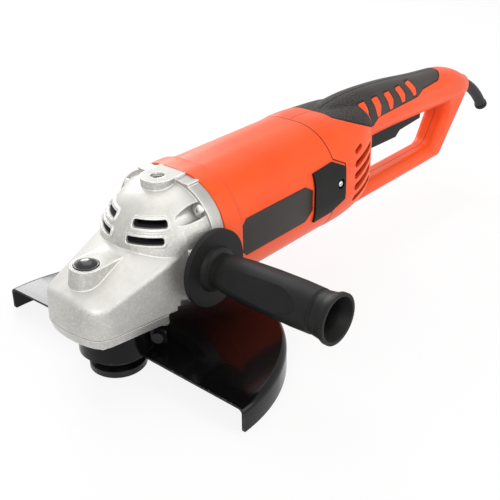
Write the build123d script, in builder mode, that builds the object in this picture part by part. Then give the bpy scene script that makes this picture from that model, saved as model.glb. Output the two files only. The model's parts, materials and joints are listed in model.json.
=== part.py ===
from build123d import *
from math import acos, atan2, cos, degrees, hypot, pi, radians, sin, sqrt, tan
import os

# Angle grinder for 230 mm discs, in millimetres.
# The origin is on the spindle axis at the face that the disc seats on.
# +X runs back along the motor to the rear handle, +Y is the tool's right, +Z is up.

# Clearances
running_fit = 0.05
loose_fit = 0.3
seam_gap = 0.2

# Motor axis and bevel gears
motor_axis_z = 72.0
crown_teeth = 40
pinion_teeth = 11
crown_pitch_radius = 30.0
tooth_face = 6.3
tooth_backlash = 0.3
tooth_sink = 0.4
flank_steps = 4
pressure_angle = 20.0
profile_shift = 0.4
pinion_addendum_share = 1.3
crown_addendum_share = 0.55
tip_clearance_share = 0.2
crown_hub_radius = 15.0
lock_holes = 6
crown_hub_top = 60.0
crown_hub_bottom = 45.0
crown_rim_bottom = 54.0
pinion_hub_radius = 9.0
pinion_back = 39.0

# Spindle, disc clamp and guard
thread_radius = 7.0
spindle_radius = 8.5
spindle_tip_radius = 6.0
spindle_end = -9.0
spindle_shoulder = 9.5
spindle_top = 70.5
disc_bore_radius = 11.0
clamp_radius = 21.0
clamp_chamfer = 1.0
inner_flange_height = 5.0
inner_flange_hub = 12.0
nut_bottom = -10.5
nut_plate_top = -4.8
nut_hub_gap = 0.4
wrench_hole_radius = 2.5
wrench_hole_circle = 15.0
wrench_hole_depth = 3.99
wrench_holes = 2
guard_radius = 123.0
guard_sheet = 1.8
guard_plate_top = 8.3
guard_skirt_bottom = -10.9
guard_bend = 4.0
guard_half_angle = 91.0
guard_corner = 2.0
guard_band_top = 28.0
guard_lug_azimuth = -57.0
guard_lug_reach = 10.0
guard_lug_height = 10.0
guard_lug_width = 12.0
guard_slit = 2.0
clamp_screw_radius = 2.5
clamp_screw_head = 4.2
clamp_screw_head_height = 2.94

# Spindle ball bearing and needle bush
spindle_bearing_radius = 20.0
spindle_bearing_width = 12.0
spindle_bearing_bottom = 12.0
ring_thickness = 3.4
shield_thickness = 1.0
retainer_thickness = 2.5
bush_wall = 3.0
bush_bottom = 61.0

# Gear housing
case_floor = 38.0
nose_front = -42.5
nose_corner_x = -37.0
nose_corner_round = 15.0
nose_half_width = 35.8
nose_flare = 0.166
nose_draft = 2.2
nose_edge_round = 6.0
nose_crown_radius = 68.0
nose_top_low = (-31.0, 67.5)
nose_top_high = (9.0, 83.5)
gear_chamber_radius = 32.0
gear_chamber_rim = 65.2
gear_chamber_top = 67.6
dome_center_x = 51.0
dome_radius = 45.0
dome_wall = 5.5
dome_floor = 86.5
tunnel_gap = 1.2
vent_rows = ((87.6, 92.6, 11.0, 49.0), (97.6, 102.8, 14.0, 54.0))
vent_rim_width = 1.6
vent_rim_height = 0.9
vent_corner = 1.8
shoulder_front = 36.0
shoulder_step = 2.6
block_front = 36.0
block_half_width = 47.5
block_bottom = 41.0
block_top = 81.5
block_round = 7.0
flange_front = 55.0
flange_rear = 66.0
flange_half = 48.5
flange_corner = 38.0
flange_screw_side = 35.5
flange_screw_rise = 31.5
flange_screw_radius = 2.4
flange_screw_head = 4.4
flange_screw_head_height = 3.0
flange_screw_length = 19.0
screw_pocket_radius = 6.0
screw_pocket_length = 28.0
tab_inner = 15.0
tab_outer = 25.0
tab_top = 119.5
handle_hole_radius = 5.25
handle_hole_depth = 20.0
top_pad_x = 50.3
top_pad_z = 121.7
top_pad_radius = 12.5
side_boss_x = 49.5
side_boss_z = 66.0
side_pad_radius = 11.0
lock_x = -20.0
lock_boss_top = 80.0
lock_boss_radius = 11.6
lock_boss_base = 14.5
lock_pocket_floor = 71.5
lock_button_radius = 9.0
lock_button_top = 83.6
lock_button_seat = 77.6
lock_button_round = 2.4
lock_travel = 4.0
lock_pin_radius = 2.6
lock_pin_gap = 0.5
spring_wire = 1.2

# Gear cover
gasket = 0.4
cover_bottom = 30.0
cover_draft = 2.0
cover_rear = 24.0
cover_rear_chamfer = 7.0
neck_bottom = 9.8
neck_radius = 25.3
neck_mouth_radius = 13.0
cover_screw_circle = 37.0
cover_screw_azimuths = (144.0, 216.0, 62.0, -62.0)
cover_screw_radius = 2.4
cover_screw_head = 3.8
cover_screw_head_height = 3.2
cover_screw_length = 18.0
cover_screw_runout = 1.0

# Armature, along the motor axis
pinion_seat_radius = 4.0
pinion_nut_front = 18.6
pinion_nut_flats = 9.0
pinion_nut_sides = 6
shaft_front_radius = 7.5
shaft_body_radius = 8.0
shaft_rear_radius = 5.0
shoulder_gap = 2.5
front_bearing_x = 44.0
front_bearing_width = 11.0
front_bearing_radius = 17.5
bearing_hub_radius = 23.0
bearing_plate_thickness = 2.5
fan_front = 69.0
fan_rear = 84.0
fan_radius = 42.0
fan_disc = 2.0
fan_hub_radius = 14.0
fan_blades = 13
fan_blade_thickness = 2.0
guide_ring_x = 87.0
guide_ring_thickness = 2.5
guide_ring_inner = 27.0
core_front = 104.0
core_length = 56.0
core_radius = 25.5
core_slots = 16
slot_depth = 7.0
slot_width = 2.4
winding_radius = 22.5
winding_length = 11.0
winding_round = 3.5
air_gap = 0.7
stator_length = 60.0
stator_radius = 44.0
coil_inner = 29.5
coil_outer = 37.5
coil_half_angle = 52.0
coil_overhang = 9.0
coil_slack = 1.0
commutator_front = 172.0
commutator_length = 20.0
commutator_radius = 16.0
rear_bearing_x = 202.0
rear_bearing_width = 9.0
rear_bearing_radius = 15.0
rear_sleeve_wall = 1.5

# Motor housing
collar_length = 18.0
collar_half = 50.0
collar_corner = 41.5
collar_round = 1.8
housing_half = 48.0
housing_corner = 41.0
seam_x = 200.0
housing_wall = 3.6
rear_wall = 3.5
rear_boss_wall = 3.5
rear_vent_radius = 9.0
rear_vents = 4
label_depth_y = 47.0
label_outline = (
    (85.6, 83.0),
    (90.3, 87.2),
    (160.5, 87.2),
    (170.0, 81.0),
    (170.0, 64.3),
    (161.0, 56.8),
    (90.0, 56.8),
    (85.6, 61.5),
)
tongue_rear = 216.0
tongue_margin = 1.8
tongue_depth = 12.0

# Brush gear
brush_x = 182.0
brush_width = 6.4
brush_height = 10.0
holder_wall = 1.0
brush_length = 18.0
brush_stand_off = 1.5
brush_spring_length = 7.0
socket_wall = 2.5
socket_depth = 16.0
cover_face_y = 49.8
cover_outline = ((171.4, 94.2), (198.0, 95.6), (212.0, 88.3), (212.4, 59.2), (194.3, 53.0), (171.4, 52.5))
brush_screw = (205.6, 74.8)
brush_screw_radius = 1.8
brush_screw_head = 3.4
brush_screw_length = 9.0
brush_screw_sink = 1.4

# Rear handle
shell_wall = 3.0
grip_skin = 1.6
bell_end_round = 8.0
grip_end_round = 2.5
bell_stations = (
    (200.0, 48.0, 24.0, 120.0, 41.0),
    (228.0, 47.0, 24.5, 119.6, 38.0),
    (256.0, 40.5, 28.0, 118.0, 31.0),
    (278.0, 30.0, 36.0, 115.0, 22.0),
    (289.0, 22.0, 46.0, 108.0, 16.0),
)
grip_stations = (
    (238.0, 17.5, 80.0, 118.0, 15.0),
    (254.0, 18.0, 77.5, 120.8, 15.8),
    (272.0, 18.5, 75.0, 122.3, 16.5),
    (310.0, 18.5, 74.0, 121.2, 16.5),
    (360.0, 18.0, 73.0, 116.2, 16.0),
    (410.0, 17.5, 70.5, 110.2, 16.0),
    (448.0, 17.0, 68.0, 105.0, 15.5),
    (470.0, 15.0, 67.0, 97.0, 13.5),
    (489.0, 10.0, 67.5, 88.5, 8.5),
)
loop_foot = (284.0, 15.5)
loop_heel = (437.0, 15.5)
loop_rear = (480.0, 74.0)
loop_crest = (466.0, 86.0)
loop_inner_high = (440.0, 60.0)
loop_inner_low = (420.0, 32.0)
loop_outline = (
    (250.0, 23.5),
    loop_foot,
    loop_heel,
    loop_rear,
    loop_crest,
    (438.0, 86.0),
    loop_inner_high,
    loop_inner_low,
    (296.0, 32.0),
    (250.0, 46.0),
)
loop_low_width = 12.0
loop_high_width = 15.5
loop_round = 7.0
loop_corner = 6.0
loop_inner_corner = 14.0
loop_side_normal = 0.9
skin_outline = (
    (230.0, 130.0),
    (230.0, 117.7),
    (289.0, 93.0),
    (297.0, 90.5),
    (306.0, 96.5),
    (372.0, 97.5),
    (382.0, 102.0),
    (414.0, 102.5),
    (437.0, 112.0),
    (437.0, 130.0),
)
skin_windows = 5
window_first = (275.0, 115.8)
window_pitch = 20.3
window_drop = 0.55
window_width = 10.0
window_height = 20.0
window_lean = 3.5
window_foot = 5.0
window_shrink = 0.085
window_round = 1.5
louvers = 4
louver_x = 248.0
louver_z = 54.0
louver_pitch = 10.4
louver_length = 38.0
louver_height = 6.2
louver_tilt = 9.0
louver_inner = 20.0
scoop = (237.5, 93.8)
scoop_length = 13.0
scoop_height = 4.0
scoop_tilt = 13.0
handle_screws_at = ((300.0, 24.0), (422.0, 24.0), (453.0, 52.0))
handle_screw_radius = 1.8
handle_screw_head = 3.6
handle_screw_seat = 7.0
handle_screw_length = 16.0

# Switch and trigger
switch_front = 312.0
switch_rear = 366.0
switch_rib = 2.0
switch_rib_inset = 8.0
switch_half_width = 12.0
switch_bottom = 89.0
switch_top = 107.0
trigger_outline = (
    (303.0, 81.0),
    (303.0, 66.0),
    (306.0, 63.0),
    (351.0, 61.5),
    (358.0, 66.5),
    (394.0, 68.5),
    (395.5, 86.5),
    (380.0, 86.5),
    (368.0, 81.0),
)
trigger_slot = ((300.0, 90.0), (300.0, 60.0), (397.0, 60.0), (397.0, 90.0))
trigger_half_width = 10.0
trigger_pivot = (388.0, 82.0)
trigger_pin_radius = 2.5
trigger_pin_half = 14.6
trigger_round = 1.5
trigger_spring_x = 332.0
trigger_spring_radius = 4.0

# Side handle, along -Y from the left boss
side_disc_radius = 28.5
side_profile = (
    (flange_half, side_pad_radius),
    (50.4, side_pad_radius),
    (50.4, side_disc_radius),
    (54.6, side_disc_radius),
    (54.6, 17.0),
    (57.0, 16.0),
    (58.5, 13.0),
    (63.0, 13.0),
    (66.5, 13.8),
    (84.0, 15.2),
    (106.0, 16.0),
    (128.0, 16.2),
    (143.0, 15.8),
    (143.8, 14.9),
    (145.6, 14.9),
    (146.4, 15.6),
    (152.5, 16.4),
    (156.0, 18.0),
    (158.7, 18.0),
)
side_end_mouth = 15.6
side_end_bore = 12.0
side_end_taper = 9.0
side_end_depth = 34.0
side_stud_radius = 5.2
side_stud_inner = 30.0
side_stud_outer = 72.0
thumb_panel_from = 69.0
thumb_panel_to = 135.0
thumb_panel_width = 21.0
thumb_panel_floor = 13.2
thumb_panel_tilt = 22.0

# Cord outlet
sleeve_radius = 5.6
sleeve_end_radius = 6.6
sleeve_end_length = 3.0
sleeve_bend = 120.0
sleeve_start = (472.4, 83.8)
sleeve_start_angle = -11.8
sleeve_turn = 40.2
sleeve_collar_radius = 8.2
sleeve_collar = 3.0
sleeve_bore = 4.2


def turned(plane, axis, profile):
    with BuildPart() as piece:
        with BuildSketch(plane):
            with BuildLine():
                Polyline(*profile, close=True)
            make_face()
        revolve(axis=axis)
    return piece.part


def about_spindle(profile):
    return turned(Plane.XZ, Axis.Z, profile)


motor_plane = Plane(origin=(0, 0, motor_axis_z), x_dir=(1, 0, 0), z_dir=(0, -1, 0))
motor_axis = Axis((0, 0, motor_axis_z), (1, 0, 0))


def about_motor(profile):
    return turned(motor_plane, motor_axis, profile)


def motor_section(x):
    return Plane(origin=(x, 0, motor_axis_z), x_dir=(0, 1, 0), z_dir=(1, 0, 0))


def sector(inner, outer, start, sweep):
    with BuildSketch(mode=Mode.PRIVATE) as piece:
        with BuildLine():
            rim = CenterArc((0, 0), outer, start, sweep)
            hollow = CenterArc((0, 0), inner, start, sweep)
            Line(rim @ 0, hollow @ 0)
            Line(rim @ 1, hollow @ 1)
        make_face()
    return piece.sketch


def bearing_rings(place, low, width, bore, outer):
    inner_edge = bore + ring_thickness
    outer_edge = outer - ring_thickness
    shield_edge = inner_edge + loose_fit
    inner = place(((low, bore), (low + width, bore), (low + width, inner_edge), (low, inner_edge)))
    groove = (
        (low, shield_edge),
        (low + shield_thickness, shield_edge),
        (low + shield_thickness, outer_edge),
        (low + width - shield_thickness, outer_edge),
        (low + width - shield_thickness, shield_edge),
        (low + width, shield_edge),
        (low + width, outer),
        (low, outer),
    )
    return inner, place(groove)


def upright(profile):
    return about_spindle([(radius, height) for height, radius in profile])


# Bevel gears: straight teeth that all point at the crossing of the two axes
pinion_pitch_radius = crown_pitch_radius * pinion_teeth / crown_teeth
module = 2 * crown_pitch_radius / crown_teeth
cone_distance = hypot(crown_pitch_radius, pinion_pitch_radius)
toe_share = 1 - tooth_face / cone_distance
flank_slope = tan(radians(pressure_angle))
pinion_addendum = pinion_addendum_share * module
crown_addendum = crown_addendum_share * module
pinion_dedendum = crown_addendum + tip_clearance_share * module
crown_dedendum = pinion_addendum + tip_clearance_share * module
shift_width = 2 * profile_shift * flank_slope * module
pinion_tooth_width = pi * module / 2 + shift_width - tooth_backlash / 2
crown_tooth_width = pi * module / 2 - shift_width - tooth_backlash / 2


def involute(angle):
    return tan(angle) - angle


def pinion_flank():
    virtual_radius = pinion_pitch_radius * cone_distance / crown_pitch_radius
    base_radius = virtual_radius * cos(radians(pressure_angle))
    half_angle = pinion_tooth_width / (2 * virtual_radius) + involute(radians(pressure_angle))
    low = max(base_radius, virtual_radius - pinion_dedendum)
    high = virtual_radius + pinion_addendum
    root_angle = half_angle - involute(acos(base_radius / low))
    root = virtual_radius - pinion_dedendum - tooth_sink
    flank = [(root * sin(root_angle), root - virtual_radius)]
    for step in range(flank_steps + 1):
        radius = low + (high - low) * step / flank_steps
        turn = half_angle - involute(acos(base_radius / radius))
        flank.append((radius * sin(turn), radius * cos(turn) - virtual_radius))
    return flank


def crown_flank():
    heights = (-crown_dedendum - tooth_sink, crown_addendum)
    return [(crown_tooth_width / 2 - height * flank_slope, height) for height in heights]


def bevel_gear(teeth, pitch_radius, mate_radius, dedendum, flank, body, first_tooth):
    cone = atan2(pitch_radius, mate_radius)
    element = Vector(sin(cone), 0, -cos(cone))
    heel_root = (pitch_radius - dedendum * cos(cone), -mate_radius - dedendum * sin(cone))
    toe_root = (heel_root[0] * toe_share, heel_root[1] * toe_share)
    outline = flank + [(-across, height) for across, height in reversed(flank)]
    with BuildPart() as tooth:
        for share in (1, toe_share):
            foot = element * cone_distance * share
            with BuildSketch(Plane(origin=foot, x_dir=(0, 1, 0), z_dir=element)):
                with BuildLine():
                    Polyline(*[(across * share, height * share) for across, height in outline], close=True)
                make_face()
        loft(ruled=True)
    with BuildPart() as gear:
        add(about_spindle(body(toe_root, heel_root)))
        with PolarLocations(0, teeth, start_angle=first_tooth):
            add(tooth.part)
    return gear.part


def crown_body(toe_root, heel_root):
    bore = spindle_radius + running_fit
    return (
        (bore, crown_hub_top - motor_axis_z),
        (toe_root[0] - tooth_sink, crown_hub_top - motor_axis_z),
        (toe_root[0] - tooth_sink, toe_root[1]),
        toe_root,
        heel_root,
        (heel_root[0], crown_rim_bottom - motor_axis_z),
        (crown_hub_radius, crown_rim_bottom - module - motor_axis_z),
        (crown_hub_radius, crown_hub_bottom - motor_axis_z),
        (bore, crown_hub_bottom - motor_axis_z),
    )


def pinion_body(toe_root, heel_root):
    bore = pinion_seat_radius + running_fit
    return (
        (bore, toe_root[1]),
        toe_root,
        heel_root,
        (pinion_hub_radius, heel_root[1] - module),
        (pinion_hub_radius, -pinion_back),
        (bore, -pinion_back),
    )


half_pitch = 180 / crown_teeth
crown_local = bevel_gear(
    crown_teeth,
    crown_pitch_radius,
    pinion_pitch_radius,
    crown_dedendum,
    crown_flank(),
    crown_body,
    half_pitch,
)
pinion_local = bevel_gear(
    pinion_teeth, pinion_pitch_radius, crown_pitch_radius, pinion_dedendum, pinion_flank(), pinion_body, 180
)
with BuildPart() as crown_gear:
    add(Pos(0, 0, motor_axis_z) * crown_local)
    with BuildSketch(Plane.XY.offset(crown_hub_bottom)):
        with PolarLocations(-lock_x, lock_holes):
            Circle(lock_pin_radius + running_fit)
    extrude(amount=crown_hub_top - crown_hub_bottom, mode=Mode.SUBTRACT)
pinion = Pos(0, 0, motor_axis_z) * Rot(0, -90, 0) * pinion_local

# Spindle with the disc clamp
spindle = about_spindle(
    (
        (0, spindle_end),
        (thread_radius - clamp_chamfer, spindle_end),
        (thread_radius, spindle_end + clamp_chamfer),
        (thread_radius, spindle_shoulder),
        (spindle_radius, spindle_shoulder),
        (spindle_radius, crown_hub_top),
        (spindle_tip_radius, crown_hub_top),
        (spindle_tip_radius, spindle_top),
        (0, spindle_top),
    )
)
inner_flange = about_spindle(
    (
        (thread_radius + running_fit, 0),
        (clamp_radius - clamp_chamfer, 0),
        (clamp_radius, clamp_chamfer),
        (clamp_radius, inner_flange_height - clamp_chamfer),
        (clamp_radius - clamp_chamfer, inner_flange_height),
        (inner_flange_hub, inner_flange_height),
        (inner_flange_hub, spindle_shoulder),
        (thread_radius + running_fit, spindle_shoulder),
    )
)
with BuildPart() as flange_nut:
    add(
        about_spindle(
            (
                (thread_radius + running_fit, nut_bottom),
                (clamp_radius - clamp_chamfer, nut_bottom),
                (clamp_radius, nut_bottom + clamp_chamfer),
                (clamp_radius, nut_plate_top),
                (disc_bore_radius, nut_plate_top),
                (disc_bore_radius, -nut_hub_gap),
                (thread_radius + running_fit, -nut_hub_gap),
            )
        )
    )
    with BuildSketch(Plane.XY.offset(nut_bottom)):
        with PolarLocations(wrench_hole_circle, wrench_holes):
            Circle(wrench_hole_radius)
    extrude(amount=wrench_hole_depth, mode=Mode.SUBTRACT)

spindle_bearing_inner, spindle_bearing_outer = bearing_rings(
    upright,
    spindle_bearing_bottom,
    spindle_bearing_width,
    spindle_radius + running_fit,
    spindle_bearing_radius,
)
retainer_bottom = spindle_bearing_bottom + spindle_bearing_width
bearing_retainer = upright(
    (
        (retainer_bottom, spindle_bearing_radius - ring_thickness),
        (retainer_bottom, spindle_bearing_radius),
        (retainer_bottom + retainer_thickness, spindle_bearing_radius),
        (retainer_bottom + retainer_thickness, spindle_bearing_radius - ring_thickness),
    )
)
bush_radius = spindle_tip_radius + bush_wall
needle_bush = upright(
    (
        (bush_bottom, spindle_tip_radius + running_fit),
        (bush_bottom, bush_radius),
        (spindle_top, bush_radius),
        (spindle_top, spindle_tip_radius + running_fit),
    )
)
spindle_spacer = upright(
    (
        (retainer_bottom, spindle_radius + running_fit),
        (retainer_bottom, spindle_radius + ring_thickness),
        (crown_hub_bottom, spindle_radius + ring_thickness),
        (crown_hub_bottom, spindle_radius + running_fit),
    )
)

# Guard: pressed sheet with a skirt, a clamp band and its pinch lug
band_inner = neck_radius + loose_fit
band_outer = band_inner + guard_sheet
with BuildPart() as guard_press:
    with BuildSketch(Plane.XZ):
        with BuildLine():
            FilletPolyline(
                (band_outer, guard_plate_top - guard_sheet / 2),
                (guard_radius - guard_sheet / 2, guard_plate_top - guard_sheet / 2),
                (guard_radius - guard_sheet / 2, guard_skirt_bottom),
                radius=guard_bend,
            )
        trace(line_width=guard_sheet)
    revolve(axis=Axis.Z, revolution_arc=2 * guard_half_angle)
    rim_edges = guard_press.edges().filter_by(lambda e: abs(e.center().Z - guard_skirt_bottom) < guard_sheet)
    skirt_corners = rim_edges.filter_by(GeomType.LINE)
    fillet(skirt_corners, guard_corner)
guard_sheet_part = Rot(0, 0, -guard_half_angle) * guard_press.part
lug_plane = Plane.XZ.rotated((0, 0, guard_lug_azimuth))
lug_mid_z = guard_plate_top + guard_lug_height
with BuildPart() as guard:
    add(guard_sheet_part)
    add(
        upright(
            (
                (guard_plate_top - guard_sheet, band_inner),
                (guard_plate_top - guard_sheet, band_outer + running_fit),
                (guard_band_top, band_outer + running_fit),
                (guard_band_top, band_inner),
            )
        )
    )
    with BuildSketch(lug_plane):
        with Locations((band_outer + guard_lug_reach / 2, lug_mid_z)):
            Rectangle(guard_lug_reach + guard_sheet, guard_lug_height)
    extrude(amount=guard_lug_width / 2, both=True)
    with BuildSketch(lug_plane):
        with Locations((band_inner + guard_lug_reach, lug_mid_z + guard_plate_top)):
            Rectangle(2 * guard_lug_reach + guard_sheet, guard_band_top)
    extrude(amount=guard_slit / 2, both=True, mode=Mode.SUBTRACT)
    with BuildSketch(lug_plane):
        with Locations((band_outer + guard_lug_reach / 2, lug_mid_z)):
            Circle(clamp_screw_radius + running_fit)
    extrude(amount=guard_lug_width, both=True, mode=Mode.SUBTRACT)
with BuildPart() as guard_clamp_screw:
    with BuildSketch(lug_plane):
        with Locations((band_outer + guard_lug_reach / 2, lug_mid_z)):
            Circle(clamp_screw_radius)
    extrude(amount=guard_lug_width / 2 + clamp_screw_radius, both=True)
    with BuildSketch(lug_plane.offset(guard_lug_width / 2)):
        with Locations((band_outer + guard_lug_reach / 2, lug_mid_z)):
            Circle(clamp_screw_head)
    extrude(amount=clamp_screw_head_height)

# Gear cover: drafted plate with the neck that holds the spindle bearing
cover_top = case_floor - gasket


def case_half(x, inset):
    return nose_half_width + nose_flare * x - inset


def case_plan(height, rear, inset):
    front = nose_corner_x + inset
    front_half = case_half(front, inset)
    rear_half = case_half(rear, inset)
    with BuildSketch(Plane.XY.offset(height)) as plan:
        with BuildLine():
            ThreePointArc((front, front_half), (nose_front + inset, 0), (front, -front_half))
            Polyline((front, -front_half), (rear, -rear_half), (rear, rear_half), (front, front_half))
        make_face()
        fillet(plan.vertices().group_by(Axis.X)[0], nose_corner_round - inset)
        chamfer(plan.vertices().group_by(Axis.X)[-1], cover_rear_chamfer)
    return plan.sketch


with BuildPart() as gear_cover:
    loft(
        [case_plan(cover_bottom, cover_rear, cover_draft), case_plan(cover_top, cover_rear, 0)],
        ruled=True,
    )
    with BuildSketch(Plane.XY.offset(neck_bottom)):
        Circle(neck_radius)
    extrude(amount=cover_bottom - neck_bottom)
    with BuildSketch(Plane.XY.offset(neck_bottom)):
        Circle(neck_mouth_radius)
    extrude(amount=cover_top, mode=Mode.SUBTRACT)
    with BuildSketch(Plane.XY.offset(spindle_bearing_bottom)):
        Circle(spindle_bearing_radius + running_fit)
    extrude(amount=cover_top, mode=Mode.SUBTRACT)
    with BuildSketch(Plane.XY.offset(cover_bottom)):
        for azimuth in cover_screw_azimuths:
            with PolarLocations(cover_screw_circle, 1, start_angle=azimuth):
                Circle(cover_screw_radius + running_fit)
    extrude(amount=cover_top, mode=Mode.SUBTRACT)

with BuildPart() as cover_gasket:
    extrude(case_plan(cover_top, cover_rear, 0), amount=gasket)
    with BuildSketch(Plane.XY.offset(cover_top)):
        Circle(gear_chamber_radius)
        for azimuth in cover_screw_azimuths:
            with PolarLocations(cover_screw_circle, 1, start_angle=azimuth):
                Circle(cover_screw_radius + running_fit)
    extrude(amount=gasket, mode=Mode.SUBTRACT)

with BuildPart() as cover_screws:
    for azimuth in cover_screw_azimuths:
        with BuildSketch(Plane.XY.offset(cover_bottom)):
            with PolarLocations(cover_screw_circle, 1, start_angle=azimuth):
                Circle(cover_screw_head)
        extrude(amount=-cover_screw_head_height)
        with BuildSketch(Plane.XY.offset(cover_bottom)):
            with PolarLocations(cover_screw_circle, 1, start_angle=azimuth):
                Circle(cover_screw_radius)
        extrude(amount=cover_screw_length)

# Gear housing: sloped nose, vented dome, block with the handle bosses and rear flange
nose_rise = Vector(nose_top_high[0] - nose_top_low[0], 0, nose_top_high[1] - nose_top_low[1])
nose_reach = 2 * (flange_half - nose_front)
bearing_hub_rear = front_bearing_x + front_bearing_width
air_radius = dome_radius - dome_wall
tunnel_radius = pinion_pitch_radius + pinion_addendum + tunnel_gap
front_bearing_bore = front_bearing_radius + running_fit
flange_screw_hole = flange_screw_radius + running_fit
tunnel_front = bush_radius + bush_wall + 2 * running_fit
diagonals = [(side, level) for side in (-1, 1) for level in (-1, 1)]
outward = (Align.CENTER, Align.CENTER, Align.MIN)
inward = (Align.CENTER, Align.CENTER, Align.MAX)


def flange_screw_place(x, side, level):
    return (x, side * flange_screw_side, motor_axis_z + level * flange_screw_rise)


def dome_form(radius, rear):
    with BuildPart() as dome:
        with BuildSketch(motor_plane):
            with BuildLine():
                CenterArc((dome_center_x, 0), radius, 90, 90)
                Polyline((dome_center_x, radius), (rear, radius), (rear, 0), (dome_center_x - radius, 0))
            make_face()
        revolve(axis=motor_axis)
    return dome.part


def along_motor(x_from, x_to, radius):
    return about_motor(((x_from, 0), (x_to, 0), (x_to, radius), (x_from, radius)))


with BuildPart() as air_space:
    add(dome_form(air_radius, flange_rear))
    add(along_motor(0, bearing_hub_rear, bearing_hub_radius), mode=Mode.SUBTRACT)
    with BuildSketch(Plane.XZ):
        Rectangle(bearing_hub_rear, dome_floor, align=Align.MIN)
    extrude(amount=dome_radius, both=True, mode=Mode.SUBTRACT)
    with BuildSketch(Plane.XY.offset(top_pad_z - handle_hole_depth - shell_wall)):
        with Locations((top_pad_x, 0)):
            Circle(handle_hole_radius + shell_wall)
    extrude(amount=handle_hole_depth, mode=Mode.SUBTRACT)


def vent_windows(grow):
    with BuildPart() as windows:
        for low, high, inner_angle, outer_angle in vent_rows:
            outer = sqrt(dome_radius**2 - (low - motor_axis_z) ** 2) + dome_wall
            inner = sqrt(air_radius**2 - (high - motor_axis_z) ** 2) - loose_fit
            spread = degrees(grow / outer)
            for side in (-1, 1):
                with BuildSketch(Plane.XY.offset(low - grow)):
                    with Locations((dome_center_x, 0)):
                        add(
                            sector(
                                inner,
                                outer,
                                180 + side * (inner_angle - spread),
                                side * (outer_angle - inner_angle + 2 * spread),
                            )
                        )
                extrude(amount=high - low + 2 * grow)
        radial_edges = windows.edges().filter_by(GeomType.LINE).filter_by(Axis.Z, reverse=True)
        fillet(radial_edges, vent_corner + grow / 2)
    return windows.part


with BuildPart() as vent_rims:
    add(dome_form(dome_radius + vent_rim_height, flange_rear))
    add(vent_windows(vent_rim_width), mode=Mode.INTERSECT)
    add(dome_form(dome_radius - dome_wall / 2, flange_rear), mode=Mode.SUBTRACT)

chamber_crown = gear_chamber_radius - tooth_face - 2 * module
gear_chamber = about_spindle(
    (
        (0, case_floor),
        (gear_chamber_radius, case_floor),
        (gear_chamber_radius, gear_chamber_rim),
        (chamber_crown, gear_chamber_top),
        (0, gear_chamber_top),
    )
)

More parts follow.
